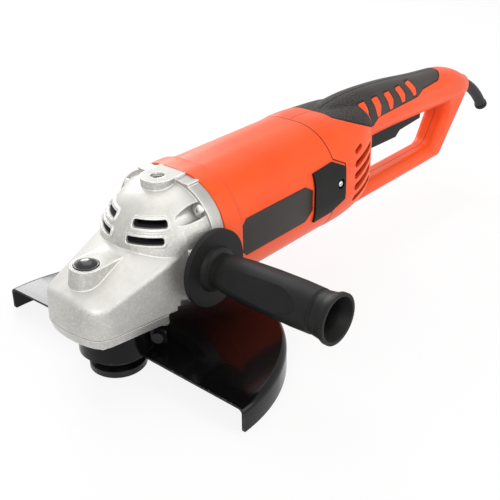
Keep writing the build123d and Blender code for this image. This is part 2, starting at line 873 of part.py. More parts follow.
crown_plane = Plane(
    origin=(nose_top_low[0], 0, nose_top_low[1]), x_dir=(0, 1, 0), z_dir=nose_rise
)
with BuildPart() as gear_housing:
    loft(
        [
            case_plan(case_floor, flange_front, 0),
            case_plan(case_floor + motor_axis_z, flange_front, nose_draft),
        ],
        ruled=True,
    )
    with BuildSketch(crown_plane):
        with Locations((0, -nose_crown_radius)):
            Circle(nose_crown_radius)
    extrude(amount=nose_reach, both=True, mode=Mode.INTERSECT)
    crown_face = gear_housing.faces().filter_by(GeomType.CYLINDER).sort_by(SortBy.AREA)[-1]
    fillet(crown_face.edges().filter_by(lambda e: e.center().X < block_front), nose_edge_round)
    boss_rear = nose_top_high[0]
    boss_foot = nose_top_low[1] - nose_edge_round
    for height, reach in ((boss_foot, lock_boss_base), (lock_boss_top, lock_boss_radius)):
        with BuildSketch(Plane.XY.offset(height)):
            with BuildLine():
                CenterArc((lock_x, 0), reach, 90, 180)
                Polyline((lock_x, -reach), (boss_rear, -reach), (boss_rear, reach), (lock_x, reach))
            make_face()
    loft(ruled=True)
    add(dome_form(dome_radius, flange_rear))
    add(vent_rims.part)
    with BuildSketch(motor_section(shoulder_front)):
        shoulder_half = sqrt(dome_radius**2 - (dome_center_x - shoulder_front) ** 2)
        RectangleRounded(2 * shoulder_half, 2 * shoulder_half, shoulder_half - loose_fit)
    with BuildSketch(motor_section(flange_front)):
        shoulder_half = flange_half - shoulder_step
        RectangleRounded(2 * shoulder_half, 2 * shoulder_half, flange_corner - shoulder_step)
    loft(ruled=True)
    with BuildSketch(Plane.YZ.offset(block_front)) as block_face:
        with Locations((0, (block_bottom + block_top) / 2)):
            Rectangle(2 * block_half_width, block_top - block_bottom)
        fillet(block_face.vertices(), block_round)
    extrude(amount=flange_rear - block_front)
    with BuildSketch(Plane.XZ):
        with BuildLine():
            Polyline(
                (-nose_reach, 0),
                (flange_front, 0),
                (flange_front, block_bottom),
                (cover_rear + seam_gap, block_bottom),
                (cover_rear + seam_gap, case_floor),
                (-nose_reach, case_floor),
                close=True,
            )
        make_face()
    extrude(amount=nose_reach, both=True, mode=Mode.SUBTRACT)
    with BuildSketch(motor_section(flange_front)):
        RectangleRounded(2 * flange_half, 2 * flange_half, flange_corner)
        for side in (-1, 1):
            with Locations((side * (tab_inner + tab_outer) / 2, flange_half / 2)):
                Rectangle(tab_outer - tab_inner, 2 * (tab_top - motor_axis_z) - flange_half)
    extrude(amount=flange_rear - flange_front)
    extrude(
        case_plan(case_floor, cover_rear + seam_gap, -seam_gap),
        amount=cover_bottom - case_floor,
        mode=Mode.SUBTRACT,
    )
    with BuildSketch(Plane.XY.offset(top_pad_z)):
        with Locations((top_pad_x, 0)):
            Circle(top_pad_radius)
        with Locations(((top_pad_x + flange_rear) / 2, 0)):
            Rectangle(flange_rear - top_pad_x, 2 * top_pad_radius)
    extrude(amount=-handle_hole_depth / 2)
    with BuildSketch(Plane.XZ):
        with Locations((side_boss_x, side_boss_z)):
            Circle(side_pad_radius)
    extrude(amount=flange_half, both=True)
    add(air_space.part, mode=Mode.SUBTRACT)
    add(vent_windows(0), mode=Mode.SUBTRACT)
    add(gear_chamber, mode=Mode.SUBTRACT)
    with BuildSketch(Plane.XY.offset(bush_bottom)):
        Circle(bush_radius + bush_wall)
    extrude(amount=spindle_top - bush_bottom)
    with BuildSketch(Plane.XY.offset(bush_bottom)):
        Circle(bush_radius + running_fit)
    extrude(amount=spindle_top - bush_bottom + loose_fit, mode=Mode.SUBTRACT)
    add(along_motor(tunnel_front, front_bearing_x, tunnel_radius), mode=Mode.SUBTRACT)
    add(along_motor(front_bearing_x, bearing_hub_rear, front_bearing_bore), mode=Mode.SUBTRACT)
    for side, level in diagonals:
        with Locations(Plane(origin=flange_screw_place(flange_front, side, level), z_dir=(-1, 0, 0))):
            Cylinder(screw_pocket_radius, screw_pocket_length, align=outward, mode=Mode.SUBTRACT)
            Cylinder(flange_screw_hole, flange_rear - flange_front, align=inward, mode=Mode.SUBTRACT)
    with Locations((top_pad_x, 0, top_pad_z)):
        Cylinder(handle_hole_radius, handle_hole_depth, align=inward, mode=Mode.SUBTRACT)
    for side in (-1, 1):
        with Locations(Plane(origin=(side_boss_x, side * flange_half, side_boss_z), z_dir=(0, -side, 0))):
            Cylinder(handle_hole_radius, handle_hole_depth, align=outward, mode=Mode.SUBTRACT)
    with BuildSketch(Plane.XY.offset(lock_pocket_floor)):
        with Locations((lock_x, 0)):
            Circle(lock_button_radius + loose_fit)
    extrude(amount=lock_boss_top - lock_pocket_floor + loose_fit, mode=Mode.SUBTRACT)
    with BuildSketch(Plane.XY.offset(case_floor)):
        for azimuth in cover_screw_azimuths:
            with PolarLocations(cover_screw_circle, 1, start_angle=azimuth):
                Circle(cover_screw_radius + running_fit)
    extrude(amount=cover_bottom + cover_screw_length + cover_screw_runout - case_floor, mode=Mode.SUBTRACT)
    with BuildSketch(Plane.XY.offset(case_floor)):
        with Locations((lock_x, 0)):
            Circle(lock_pin_radius + running_fit)
    extrude(amount=lock_pocket_floor - case_floor, mode=Mode.SUBTRACT)

with BuildPart() as flange_screws:
    for side, level in diagonals:
        with Locations(Plane(origin=flange_screw_place(flange_front, side, level), z_dir=(-1, 0, 0))):
            Cylinder(flange_screw_head, flange_screw_head_height, align=outward)
            Cylinder(flange_screw_radius, flange_screw_length, align=inward)

# Spindle lock: domed button, pin and return spring
lock_pin_bottom = crown_hub_top + lock_pin_gap + lock_travel
with BuildPart() as lock_button:
    with BuildSketch(Plane.XY.offset(lock_button_seat)):
        with Locations((lock_x, 0)):
            Circle(lock_button_radius)
    extrude(amount=lock_button_top - lock_button_seat)
    fillet(lock_button.edges().group_by(Axis.Z)[-1], lock_button_round)
with BuildPart() as lock_pin:
    with BuildSketch(Plane.XY.offset(lock_pin_bottom)):
        with Locations((lock_x, 0)):
            Circle(lock_pin_radius)
    extrude(amount=lock_button_seat - lock_pin_bottom)
with BuildPart() as lock_spring:
    with BuildSketch(Plane.XY.offset(lock_pocket_floor)):
        with Locations((lock_x, 0)):
            Circle(lock_pin_radius + loose_fit + spring_wire)
            Circle(lock_pin_radius + loose_fit, mode=Mode.SUBTRACT)
    extrude(amount=lock_button_seat - lock_pocket_floor)


# Armature with its pinion nut, fan, windings and bearings
pinion_cone = atan2(pinion_pitch_radius, crown_pitch_radius)
pinion_toe = toe_share * (crown_pitch_radius + pinion_dedendum * sin(pinion_cone))
core_rear = core_front + core_length
rear_bearing_end = rear_bearing_x + rear_bearing_width
shaft_neck = rear_bearing_x - shoulder_gap
shaft_end = rear_bearing_end + shoulder_gap
armature_shaft = about_motor(
    (
        (pinion_nut_front, 0),
        (shaft_end, 0),
        (shaft_end, shaft_rear_radius),
        (shaft_neck, shaft_rear_radius),
        (shaft_neck, shaft_body_radius),
        (bearing_hub_rear, shaft_body_radius),
        (bearing_hub_rear, shaft_front_radius),
        (pinion_back, shaft_front_radius),
        (pinion_back, pinion_seat_radius),
        (pinion_nut_front, pinion_seat_radius),
    )
)
with BuildPart() as pinion_nut:
    with BuildSketch(motor_section(pinion_nut_front)):
        RegularPolygon(pinion_nut_flats / 2, pinion_nut_sides, major_radius=False)
        Circle(pinion_seat_radius + running_fit, mode=Mode.SUBTRACT)
    extrude(amount=pinion_toe - pinion_nut_front)
with BuildPart() as armature_core:
    with BuildSketch(motor_section(core_front)):
        Circle(core_radius)
        Circle(shaft_body_radius, mode=Mode.SUBTRACT)
        with PolarLocations(core_radius, core_slots):
            Rectangle(2 * slot_depth, slot_width, mode=Mode.SUBTRACT)
    extrude(amount=core_length)
with BuildPart() as armature_windings:
    for start in (core_front - winding_length, core_rear):
        with BuildSketch(motor_plane):
            with Locations((start + winding_length / 2, (winding_radius + shaft_body_radius) / 2)):
                RectangleRounded(winding_length, winding_radius - shaft_body_radius, winding_round)
        revolve(axis=motor_axis)
commutator = about_motor(
    (
        (commutator_front, shaft_body_radius),
        (commutator_front + commutator_length, shaft_body_radius),
        (commutator_front + commutator_length, commutator_radius),
        (commutator_front, commutator_radius),
    )
)
with BuildPart() as fan:
    with BuildSketch(motor_section(fan_front)):
        Circle(fan_hub_radius)
        with PolarLocations((fan_radius + fan_hub_radius) / 2, fan_blades):
            Rectangle(fan_radius - fan_hub_radius + fan_blade_thickness, fan_blade_thickness)
    extrude(amount=fan_rear - fan_front)
    with BuildSketch(motor_section(fan_rear - fan_disc)):
        Circle(fan_radius)
    extrude(amount=fan_disc)
    with BuildSketch(motor_section(fan_front)):
        Circle(shaft_body_radius)
    extrude(amount=fan_rear - fan_front, mode=Mode.SUBTRACT)
front_bearing_inner, front_bearing_outer = bearing_rings(
    about_motor, front_bearing_x, front_bearing_width, shaft_front_radius + running_fit, front_bearing_radius
)
rear_bearing_inner, rear_bearing_outer = bearing_rings(
    about_motor, rear_bearing_x, rear_bearing_width, shaft_rear_radius + running_fit, rear_bearing_radius
)
rear_sleeve_radius = rear_bearing_radius + rear_sleeve_wall


def motor_ring(front, length, inner, outer):
    return about_motor(((front, inner), (front + length, inner), (front + length, outer), (front, outer)))


bearing_plate = motor_ring(
    bearing_hub_rear, bearing_plate_thickness, front_bearing_radius - ring_thickness, bearing_hub_radius
)
rear_bearing_sleeve = motor_ring(
    rear_bearing_x, rear_bearing_width, rear_bearing_radius + running_fit, rear_sleeve_radius
)
bore_radius = stator_radius + running_fit
air_guide_ring = motor_ring(guide_ring_x, guide_ring_thickness, guide_ring_inner, stator_radius)


# Stator: laminated ring with two windows, each holding one side of both field coils
stator_front = core_front + (core_length - stator_length) / 2
with BuildPart() as stator_core:
    with BuildSketch(motor_section(stator_front)):
        Circle(stator_radius)
        Circle(core_radius + air_gap, mode=Mode.SUBTRACT)
        for turn in (0, 180):
            slot_start = turn - coil_half_angle
            slot = sector(coil_inner - running_fit, coil_outer + running_fit, slot_start, 2 * coil_half_angle)
            add(slot, mode=Mode.SUBTRACT)
    extrude(amount=stator_length)
coil_edge = coil_half_angle - coil_slack
with BuildPart() as field_coils:
    for turn in (0, 180):
        with BuildSketch(motor_section(stator_front - coil_overhang)):
            add(sector(coil_inner, coil_outer, turn + coil_slack, 180 - 2 * coil_slack))
        extrude(amount=stator_length + 2 * coil_overhang)
        with BuildSketch(motor_section(stator_front - running_fit)):
            gap_sweep = 180 - 2 * coil_edge
            add(sector(coil_inner - coil_slack, coil_outer + coil_slack, turn + coil_edge, gap_sweep))
        extrude(amount=stator_length + 2 * running_fit, mode=Mode.SUBTRACT)

# Motor housing: rounded square tube with a front collar, rear wall, brush sockets and side tongues
collar_rear = flange_rear + collar_length
wall_front = seam_x - rear_wall
boss_radius = rear_sleeve_radius + rear_boss_wall
holder_width = brush_width + 2 * (holder_wall + running_fit)
holder_height = brush_height + 2 * (holder_wall + running_fit)
socket_low = bore_radius - socket_depth


def housing_form(rear, inset):
    with BuildPart() as form:
        with BuildSketch(motor_section(collar_rear)):
            RectangleRounded(2 * (housing_half - inset), 2 * (housing_half - inset), housing_corner - inset)
        extrude(amount=rear - collar_rear)
    return form.part


def cover_zone(margin, inner):
    with BuildPart() as zone:
        for side in (-1, 1):
            with BuildSketch(Plane.XZ.offset(side * inner)):
                with BuildLine():
                    Polyline(*cover_outline, close=True)
                make_face()
                offset(amount=margin, kind=Kind.INTERSECTION)
            extrude(amount=side * cover_face_y)
    return zone.part


tongue_inner = housing_half - tongue_depth
with BuildPart() as tongues:
    add(housing_form(tongue_rear, 0))
    add(cover_zone(tongue_margin, tongue_inner), mode=Mode.INTERSECT)
    add(housing_form(tongue_rear, housing_wall), mode=Mode.SUBTRACT)

with BuildPart() as motor_housing:
    with BuildSketch(motor_section(flange_rear)):
        RectangleRounded(2 * collar_half, 2 * collar_half, collar_corner)
    extrude(amount=collar_length)
    fillet(motor_housing.edges().group_by(Axis.X)[-1], collar_round)
    add(housing_form(seam_x, 0))
    add(along_motor(flange_rear, wall_front, bore_radius), mode=Mode.SUBTRACT)
    add(tongues.part)
    for side in (-1, 1):
        with BuildSketch(Plane.XZ.offset(side * socket_low)):
            with Locations((brush_x, motor_axis_z)):
                Rectangle(holder_width + 2 * socket_wall, holder_height + 2 * socket_wall)
        extrude(amount=side * (housing_half - socket_low - housing_wall / 2))
        with BuildSketch(Plane.XZ):
            with Locations((brush_x, motor_axis_z)):
                Rectangle(holder_width + 2 * running_fit, holder_height + 2 * running_fit)
        extrude(amount=side * cover_face_y, mode=Mode.SUBTRACT)
        with BuildSketch(Plane.XZ):
            with Locations(brush_screw):
                Circle(brush_screw_radius)
        extrude(amount=side * cover_face_y, mode=Mode.SUBTRACT)
    add(along_motor(wall_front, shaft_end, boss_radius))
    add(along_motor(wall_front, shaft_end, shaft_body_radius + loose_fit), mode=Mode.SUBTRACT)
    add(along_motor(rear_bearing_x, shaft_end, rear_sleeve_radius + running_fit), mode=Mode.SUBTRACT)
    with BuildSketch(motor_section(wall_front)):
        with PolarLocations((boss_radius + bore_radius) / 2, rear_vents, start_angle=180 / rear_vents):
            Circle(rear_vent_radius)
    extrude(amount=rear_wall, mode=Mode.SUBTRACT)
    with BuildSketch(motor_section(flange_rear)):
        with GridLocations(2 * flange_screw_side, 2 * flange_screw_rise, 2, 2):
            Circle(flange_screw_radius + running_fit)
    extrude(amount=flange_front + flange_screw_length - flange_rear + loose_fit, mode=Mode.SUBTRACT)
    with BuildSketch(Plane.XZ.offset(label_depth_y)):
        with BuildLine():
            Polyline(*label_outline, close=True)
        make_face()
    extrude(amount=cover_face_y, mode=Mode.SUBTRACT)

# Brush gear on both sides of the commutator
holder_start = commutator_radius + brush_stand_off
holder_end = housing_half - housing_wall / 2
brush_end = commutator_radius + brush_length
with BuildPart() as brush_holders:
    for side in (-1, 1):
        with BuildSketch(Plane.XZ.offset(side * holder_start)):
            with Locations((brush_x, motor_axis_z)):
                Rectangle(holder_width, holder_height)
        extrude(amount=side * (holder_end - holder_start))
        with BuildSketch(Plane.XZ.offset(side * holder_start)):
            with Locations((brush_x, motor_axis_z)):
                Rectangle(brush_width + 2 * running_fit, brush_height + 2 * running_fit)
        extrude(amount=side * (brush_end + brush_spring_length - holder_start), mode=Mode.SUBTRACT)
with BuildPart() as carbon_brushes:
    with BuildSketch(Plane.XZ):
        with Locations((brush_x, motor_axis_z)):
            Rectangle(brush_width, brush_height)
    extrude(amount=brush_end, both=True)
    brush_seat = along_motor(brush_x - brush_width, brush_x + brush_width, commutator_radius + loose_fit)
    add(brush_seat, mode=Mode.SUBTRACT)
with BuildPart() as brush_springs:
    for side in (-1, 1):
        with BuildSketch(Plane.XZ.offset(side * brush_end)):
            with Locations((brush_x, motor_axis_z)):
                Circle(brush_width / 2)
                Circle(brush_width / 2 - spring_wire, mode=Mode.SUBTRACT)
        extrude(amount=side * brush_spring_length)


def brush_cover(side):
    with BuildPart() as cover:
        with BuildSketch(Plane.XZ):
            with BuildLine():
                Polyline(*cover_outline, close=True)
            make_face()
        extrude(amount=-side * cover_face_y)
        add(housing_form(tongue_rear, housing_half - cover_face_y), mode=Mode.INTERSECT)
        add(housing_form(tongue_rear, -running_fit), mode=Mode.SUBTRACT)
        with BuildSketch(Plane.XZ):
            with Locations(brush_screw):
                Circle(brush_screw_radius + running_fit)
        extrude(amount=-side * cover_face_y, mode=Mode.SUBTRACT)
        with BuildSketch(Plane.XZ.offset(-side * (cover_face_y - brush_screw_sink))):
            with Locations(brush_screw):
                Circle(brush_screw_head + loose_fit)
        extrude(amount=-side * cover_face_y, mode=Mode.SUBTRACT)
    return cover.part


brush_cover_left = brush_cover(-1)
brush_cover_right = brush_cover(1)
with BuildPart() as brush_cover_screws:
    for side in (-1, 1):
        with BuildSketch(Plane.XZ.offset(side * (cover_face_y - brush_screw_sink))):
            with Locations(brush_screw):
                Circle(brush_screw_head)
        extrude(amount=side * brush_screw_sink)
        with BuildSketch(Plane.XZ.offset(side * (cover_face_y - brush_screw_sink))):
            with Locations(brush_screw):
                Circle(brush_screw_radius)
        extrude(amount=-side * brush_screw_length)

# Rear handle: bell over the commutator end, straight grip and the loop below it
def lofted(stations, inset, end_round):
    with BuildPart() as form:
        for x, half_width, low, high, corner in stations:
            face_x = min(x, stations[-1][0] - inset)
            with BuildSketch(Plane(origin=(face_x, 0, (low + high) / 2), x_dir=(0, 1, 0), z_dir=(1, 0, 0))):
                RectangleRounded(2 * (half_width - inset), high - low - 2 * inset, corner - inset)
        loft()
        if end_round > inset:
            fillet(form.edges().group_by(Axis.X)[-1], end_round - inset)
    return form.part


def bell_and_grip(inset):
    with BuildPart() as form:
        add(lofted(bell_stations, inset, bell_end_round))
        add(lofted(grip_stations, inset, grip_end_round))
    return form.part


with BuildPart() as loop:
    with BuildSketch(Plane.XZ) as loop_side:
        with BuildLine():
            Polyline(*loop_outline, close=True)
        make_face()
        fillet(loop_side.vertices().sort_by_distance(loop_heel)[0], loop_corner)
        fillet(loop_side.vertices().sort_by_distance(loop_inner_low)[0], loop_inner_corner)
        fillet(loop_side.vertices().sort_by_distance(loop_inner_high)[0], loop_inner_corner)
    extrude(amount=loop_high_width, both=True)
    with BuildSketch(Plane.YZ):
        with BuildLine():
            Polyline(
                (-loop_low_width, loop_foot[1]),
                (loop_low_width, loop_foot[1]),
                (loop_high_width, loop_crest[1]),
                (-loop_high_width, loop_crest[1]),
                close=True,
            )
        make_face()
    extrude(amount=loop_rear[0], mode=Mode.INTERSECT)
    sides = loop.faces().filter_by(lambda face: abs(face.normal_at().Y) > loop_side_normal)
    fillet(sides.edges(), loop_round)

with BuildPart() as skin_zone:
    with BuildSketch(Plane.XZ):
        with BuildLine():
            Polyline(*skin_outline, close=True)
        make_face()
    extrude(amount=housing_half, both=True)
    for index in range(skin_windows):
        left = window_first[0] + index * window_pitch
        top = window_first[1] - index * window_drop
        height = window_height * (1 - index * window_shrink)
        right = left + window_width
        with BuildSketch(Plane.XZ) as window:
            with BuildLine():
                Polyline(
                    (left, top),
                    (right, top),
                    (right + window_lean, top - height / 2),
                    (right + window_lean, top - height),
                    (right + window_lean - window_foot, top - height),
                    close=True,
                )
            make_face()
            fillet(window.vertices(), window_round)
        extrude(amount=housing_half, both=True, mode=Mode.SUBTRACT)

with BuildPart() as grip_skin_piece:
    add(bell_and_grip(0))
    add(skin_zone.part, mode=Mode.INTERSECT)
    add(bell_and_grip(grip_skin), mode=Mode.SUBTRACT)

with BuildPart() as handle_cavity:
    add(bell_and_grip(shell_wall))
    for rib_x in (switch_front + switch_rib_inset, switch_rear - switch_rib_inset):
        with BuildSketch(Plane.YZ.offset(rib_x)):
            with Locations((0, switch_bottom + housing_half / 2)):
                Rectangle(housing_half, housing_half)
        extrude(amount=switch_rib, mode=Mode.SUBTRACT)

heading = (cos(radians(sleeve_start_angle)), sin(radians(sleeve_start_angle)))


sleeve_mouth = Plane(
    origin=(sleeve_start[0], 0, sleeve_start[1]), x_dir=(0, 1, 0), z_dir=(heading[0], 0, heading[1])
)


def sleeve_tube(radius):
    with BuildPart() as tube:
        with BuildLine(Plane.XZ) as route:
            JernArc(sleeve_start, heading, sleeve_bend, -sleeve_turn)
        with BuildSketch(sleeve_mouth):
            Circle(radius)
        sweep(path=route.wire())
    return tube.part


def left_half(form):
    with BuildPart() as half:
        add(form)
        split(bisect_by=Plane.XZ, keep=Keep.TOP)
    return half.part


with BuildPart() as half_shell:
    add(left_half(bell_and_grip(0)))
    add(skin_zone.part, mode=Mode.SUBTRACT)
    add(left_half(bell_and_grip(grip_skin)))
    add(left_half(loop.part))
    add(handle_cavity.part, mode=Mode.SUBTRACT)
    add(cover_zone(tongue_margin + seam_gap, tongue_inner / 2), mode=Mode.SUBTRACT)
    with BuildSketch(Plane.XZ):
        with BuildLine():
            Polyline(*trigger_slot, close=True)
        make_face()
    extrude(amount=trigger_half_width + loose_fit, both=True, mode=Mode.SUBTRACT)
    with BuildSketch(Plane.XZ):
        with Locations(trigger_pivot):
            Circle(trigger_pin_radius)
    extrude(amount=trigger_pin_half, both=True, mode=Mode.SUBTRACT)
    with BuildSketch(Plane.XZ):
        with Locations(((switch_front + switch_rear) / 2, (switch_bottom + switch_top) / 2)):
            Rectangle(switch_rear - switch_front, switch_top - switch_bottom)
    extrude(amount=switch_half_width + running_fit, both=True, mode=Mode.SUBTRACT)
    with BuildSketch(Plane.XZ.offset(louver_inner)):
        for index in range(louvers):
            with Locations(Location((louver_x, louver_z + index * louver_pitch), louver_tilt)):
                SlotOverall(louver_length, louver_height)
        with Locations(Location(scoop, scoop_tilt)):
            SlotOverall(scoop_length, scoop_height)
    extrude(amount=housing_half, mode=Mode.SUBTRACT)
    add(sleeve_tube(sleeve_radius + running_fit), mode=Mode.SUBTRACT)
    with BuildSketch(sleeve_mouth):
        Circle(sleeve_collar_radius + running_fit)
    extrude(amount=sleeve_collar, mode=Mode.SUBTRACT)

with BuildPart() as screw_holes:
    with BuildSketch(Plane.XZ.offset(-handle_screw_seat)):
        with Locations(*handle_screws_at):
            Circle(handle_screw_radius)
    extrude(amount=handle_screw_length)
    with BuildSketch(Plane.XZ.offset(-handle_screw_seat)):
        with Locations(*handle_screws_at):
            Circle(handle_screw_head + running_fit)
    extrude(amount=-housing_half)
with BuildPart() as handle_shell_left:
    add(half_shell.part)
    add(screw_holes.part, mode=Mode.SUBTRACT)
with BuildPart() as handle_shell_right:
    mirror(half_shell.part, about=Plane.XZ)
    add(screw_holes.part, mode=Mode.SUBTRACT)
with BuildPart() as handle_screws:
    with BuildSketch(Plane.XZ.offset(-handle_screw_seat)):
        with Locations(*handle_screws_at):
            Circle(handle_screw_radius)
    extrude(amount=handle_screw_length)
    with BuildSketch(Plane.XZ.offset(-handle_screw_seat)):
        with Locations(*handle_screws_at):
            Circle(handle_screw_head)
    extrude(amount=-handle_screw_radius)

# Switch, trigger with its pivot pin and return spring
with BuildPart() as switch_body:
    with BuildSketch(Plane.XZ):
        with Locations(((switch_front + switch_rear) / 2, (switch_bottom + switch_top) / 2)):
            Rectangle(switch_rear - switch_front, switch_top - switch_bottom)
    extrude(amount=switch_half_width, both=True)
with BuildPart() as trigger:
    with BuildSketch(Plane.XZ):
        with BuildLine():
            Polyline(*trigger_outline, close=True)
        make_face()
    extrude(amount=trigger_half_width, both=True)
    fillet(trigger.faces().filter_by(Axis.Y).edges(), trigger_round)
    with BuildSketch(Plane.XZ):
        with Locations(trigger_pivot):
            Circle(trigger_pin_radius + running_fit)
    extrude(amount=trigger_half_width, both=True, mode=Mode.SUBTRACT)
with BuildPart() as trigger_pin:
    with BuildSketch(Plane.XZ):
        with Locations(trigger_pivot):
            Circle(trigger_pin_radius)
    extrude(amount=trigger_pin_half, both=True)
with BuildPart() as trigger_spring:
    with BuildSketch(Plane.XY.offset(trigger_outline[0][1])):
        with Locations((trigger_spring_x, 0)):
            Circle(trigger_spring_radius)
            Circle(trigger_spring_radius - spring_wire, mode=Mode.SUBTRACT)
    extrude(amount=switch_bottom - trigger_outline[0][1])

# Side handle on its stud
side_plane = Plane(origin=(side_boss_x, 0, side_boss_z), x_dir=(0, -1, 0), z_dir=(1, 0, 0))
side_axis = Axis((side_boss_x, 0, side_boss_z), (0, -1, 0))
side_end = side_profile[-1][0]
stud_profile = (
    (side_stud_inner, 0),
    (side_stud_outer, 0),
    (side_stud_outer, side_stud_radius),
    (side_stud_inner, side_stud_radius),
)
bore_profile = (
    (side_end - side_end_depth, 0),
    (side_end, 0),
    (side_end, side_end_mouth),
    (side_end - side_end_taper, side_end_bore),
    (side_end - side_end_depth, side_end_bore),
)
side_handle_stud = turned(side_plane, side_axis, stud_profile)
panel_middle = (thumb_panel_from + thumb_panel_to) / 2
panel_facing = (-cos(radians(thumb_panel_tilt)), 0, sin(radians(thumb_panel_tilt)))
panel_plane = Plane(origin=(side_boss_x, -panel_middle, side_boss_z), x_dir=(0, 1, 0), z_dir=panel_facing)
with BuildPart() as side_handle:
    add(turned(side_plane, side_axis, ((side_profile[0][0], 0), *side_profile, (side_end, 0))))
    add(side_handle_stud, mode=Mode.SUBTRACT)
    add(turned(side_plane, side_axis, bore_profile), mode=Mode.SUBTRACT)
    with BuildSketch(panel_plane.offset(thumb_panel_floor)):
        Ellipse((thumb_panel_to - thumb_panel_from) / 2, thumb_panel_width / 2)
    extrude(amount=side_disc_radius, mode=Mode.SUBTRACT)

# Cord outlet: curved bend relief with a collar inside the handle and a ring at its open end
with BuildPart() as cord_sleeve:
    with BuildLine(Plane.XZ) as sleeve_route:
        JernArc(sleeve_start, heading, sleeve_bend, -sleeve_turn)
    add(sleeve_tube(sleeve_radius))
    sleeve_path = sleeve_route.wire()
    sleeve_rings = ((0, sleeve_collar_radius, sleeve_collar), (1, sleeve_end_radius, -sleeve_end_length))
    for share, radius, length in sleeve_rings:
        with BuildSketch(Plane(origin=sleeve_path @ share, x_dir=(0, 1, 0), z_dir=sleeve_path % share)):
            Circle(radius)
        extrude(amount=length)
    add(sleeve_tube(sleeve_bore), mode=Mode.SUBTRACT)

os.makedirs("parts", exist_ok=True)
pieces = {
    "crown_gear": crown_gear.part,
    "pinion": pinion,
    "spindle": spindle,
    "inner_flange": inner_flange,
    "flange_nut": flange_nut.part,
    "spindle_bearing_inner": spindle_bearing_inner,
    "spindle_bearing_outer": spindle_bearing_outer,
    "bearing_retainer": bearing_retainer,
    "needle_bush": needle_bush,
    "spindle_spacer": spindle_spacer,
    "guard": guard.part,
    "guard_clamp_screw": guard_clamp_screw.part,
    "gear_cover": gear_cover.part,
    "cover_gasket": cover_gasket.part,
    "cover_screws": cover_screws.part,
    "gear_housing": gear_housing.part,
    "flange_screws": flange_screws.part,
    "lock_button": lock_button.part,
    "lock_pin": lock_pin.part,
    "lock_spring": lock_spring.part,
    "armature_shaft": armature_shaft,
    "pinion_nut": pinion_nut.part,
    "armature_core": armature_core.part,
    "armature_windings": armature_windings.part,
    "commutator": commutator,
    "fan": fan.part,
    "front_bearing_inner": front_bearing_inner,
    "front_bearing_outer": front_bearing_outer,
    "bearing_plate": bearing_plate,
    "rear_bearing_inner": rear_bearing_inner,
    "rear_bearing_outer": rear_bearing_outer,
    "rear_bearing_sleeve": rear_bearing_sleeve,
    "air_guide_ring": air_guide_ring,
    "stator_core": stator_core.part,
    "field_coils": field_coils.part,
    "motor_housing": motor_housing.part,
    "brush_holders": brush_holders.part,
    "carbon_brushes": carbon_brushes.part,
    "brush_springs": brush_springs.part,
    "brush_cover_left": brush_cover_left,
    "brush_cover_right": brush_cover_right,
    "brush_cover_screws": brush_cover_screws.part,
    "handle_shell_left": handle_shell_left.part,
    "handle_shell_right": handle_shell_right.part,
    "handle_screws": handle_screws.part,
    "grip_skin": grip_skin_piece.part,
    "switch_body": switch_body.part,
    "trigger": trigger.part,
    "trigger_pin": trigger_pin.part,
    "trigger_spring": trigger_spring.part,
    "side_handle": side_handle.part,
    "side_handle_stud": side_handle_stud,
    "cord_sleeve": cord_sleeve.part,
}
for name, piece in pieces.items():
    piece.label = name
    export_step(piece, f"parts/{name}.step")
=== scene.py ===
import json
import math

import bmesh
import bpy
from mathutils import Matrix, Vector


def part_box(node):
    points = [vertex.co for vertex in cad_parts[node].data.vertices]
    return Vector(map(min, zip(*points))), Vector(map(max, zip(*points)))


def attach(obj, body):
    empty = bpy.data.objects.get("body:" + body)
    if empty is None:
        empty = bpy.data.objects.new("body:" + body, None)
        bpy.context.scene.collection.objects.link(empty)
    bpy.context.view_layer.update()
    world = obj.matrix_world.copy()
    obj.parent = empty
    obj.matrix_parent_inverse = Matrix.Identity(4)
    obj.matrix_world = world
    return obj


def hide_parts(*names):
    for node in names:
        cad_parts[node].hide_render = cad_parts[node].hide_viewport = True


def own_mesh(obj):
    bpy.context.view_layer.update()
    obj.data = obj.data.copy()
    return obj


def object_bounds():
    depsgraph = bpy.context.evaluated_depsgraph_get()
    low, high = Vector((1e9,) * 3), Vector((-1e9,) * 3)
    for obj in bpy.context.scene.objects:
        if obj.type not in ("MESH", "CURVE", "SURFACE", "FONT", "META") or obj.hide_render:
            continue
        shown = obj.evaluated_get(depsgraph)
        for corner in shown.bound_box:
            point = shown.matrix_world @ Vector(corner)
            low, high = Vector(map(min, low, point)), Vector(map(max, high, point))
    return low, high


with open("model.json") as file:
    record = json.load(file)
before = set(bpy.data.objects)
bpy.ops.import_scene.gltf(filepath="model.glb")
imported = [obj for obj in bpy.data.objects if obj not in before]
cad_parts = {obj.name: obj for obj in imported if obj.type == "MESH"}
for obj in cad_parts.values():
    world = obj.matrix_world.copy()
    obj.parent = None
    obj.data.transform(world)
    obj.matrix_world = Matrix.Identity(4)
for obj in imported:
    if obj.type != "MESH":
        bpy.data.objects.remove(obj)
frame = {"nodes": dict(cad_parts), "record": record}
nodes = frame["nodes"]
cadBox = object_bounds()
mm = 0.001
print("frame loaded,", len(nodes), "nodes")

cameraSpec = {
    "place": (-0.3533, -0.4339, 0.3762),
    "aim": (0.1487, 0.0, 0.02106),
    "lens": 65.5,
    "sensor": 36.0,
    "near": 0.05,
    "rollDeg": -0.8,
}


def looking(place, aim):
    turn = (Vector(aim) - Vector(place)).to_track_quat("-Z", "Y")
    return Matrix.Translation(place) @ turn.to_matrix().to_4x4()


def placeCamera(spec):
    data = bpy.data.cameras.new("photoCamera")
    data.lens = spec["lens"]
    data.sensor_width = spec["sensor"]
    data.clip_start = spec["near"]
    camera = bpy.data.objects.new("photoCamera", data)
    bpy.context.scene.collection.objects.link(camera)
    roll = Matrix.Rotation(math.radians(spec["rollDeg"]), 4, "Z")
    camera.matrix_world = looking(spec["place"], spec["aim"]) @ roll
    bpy.context.scene.camera = camera


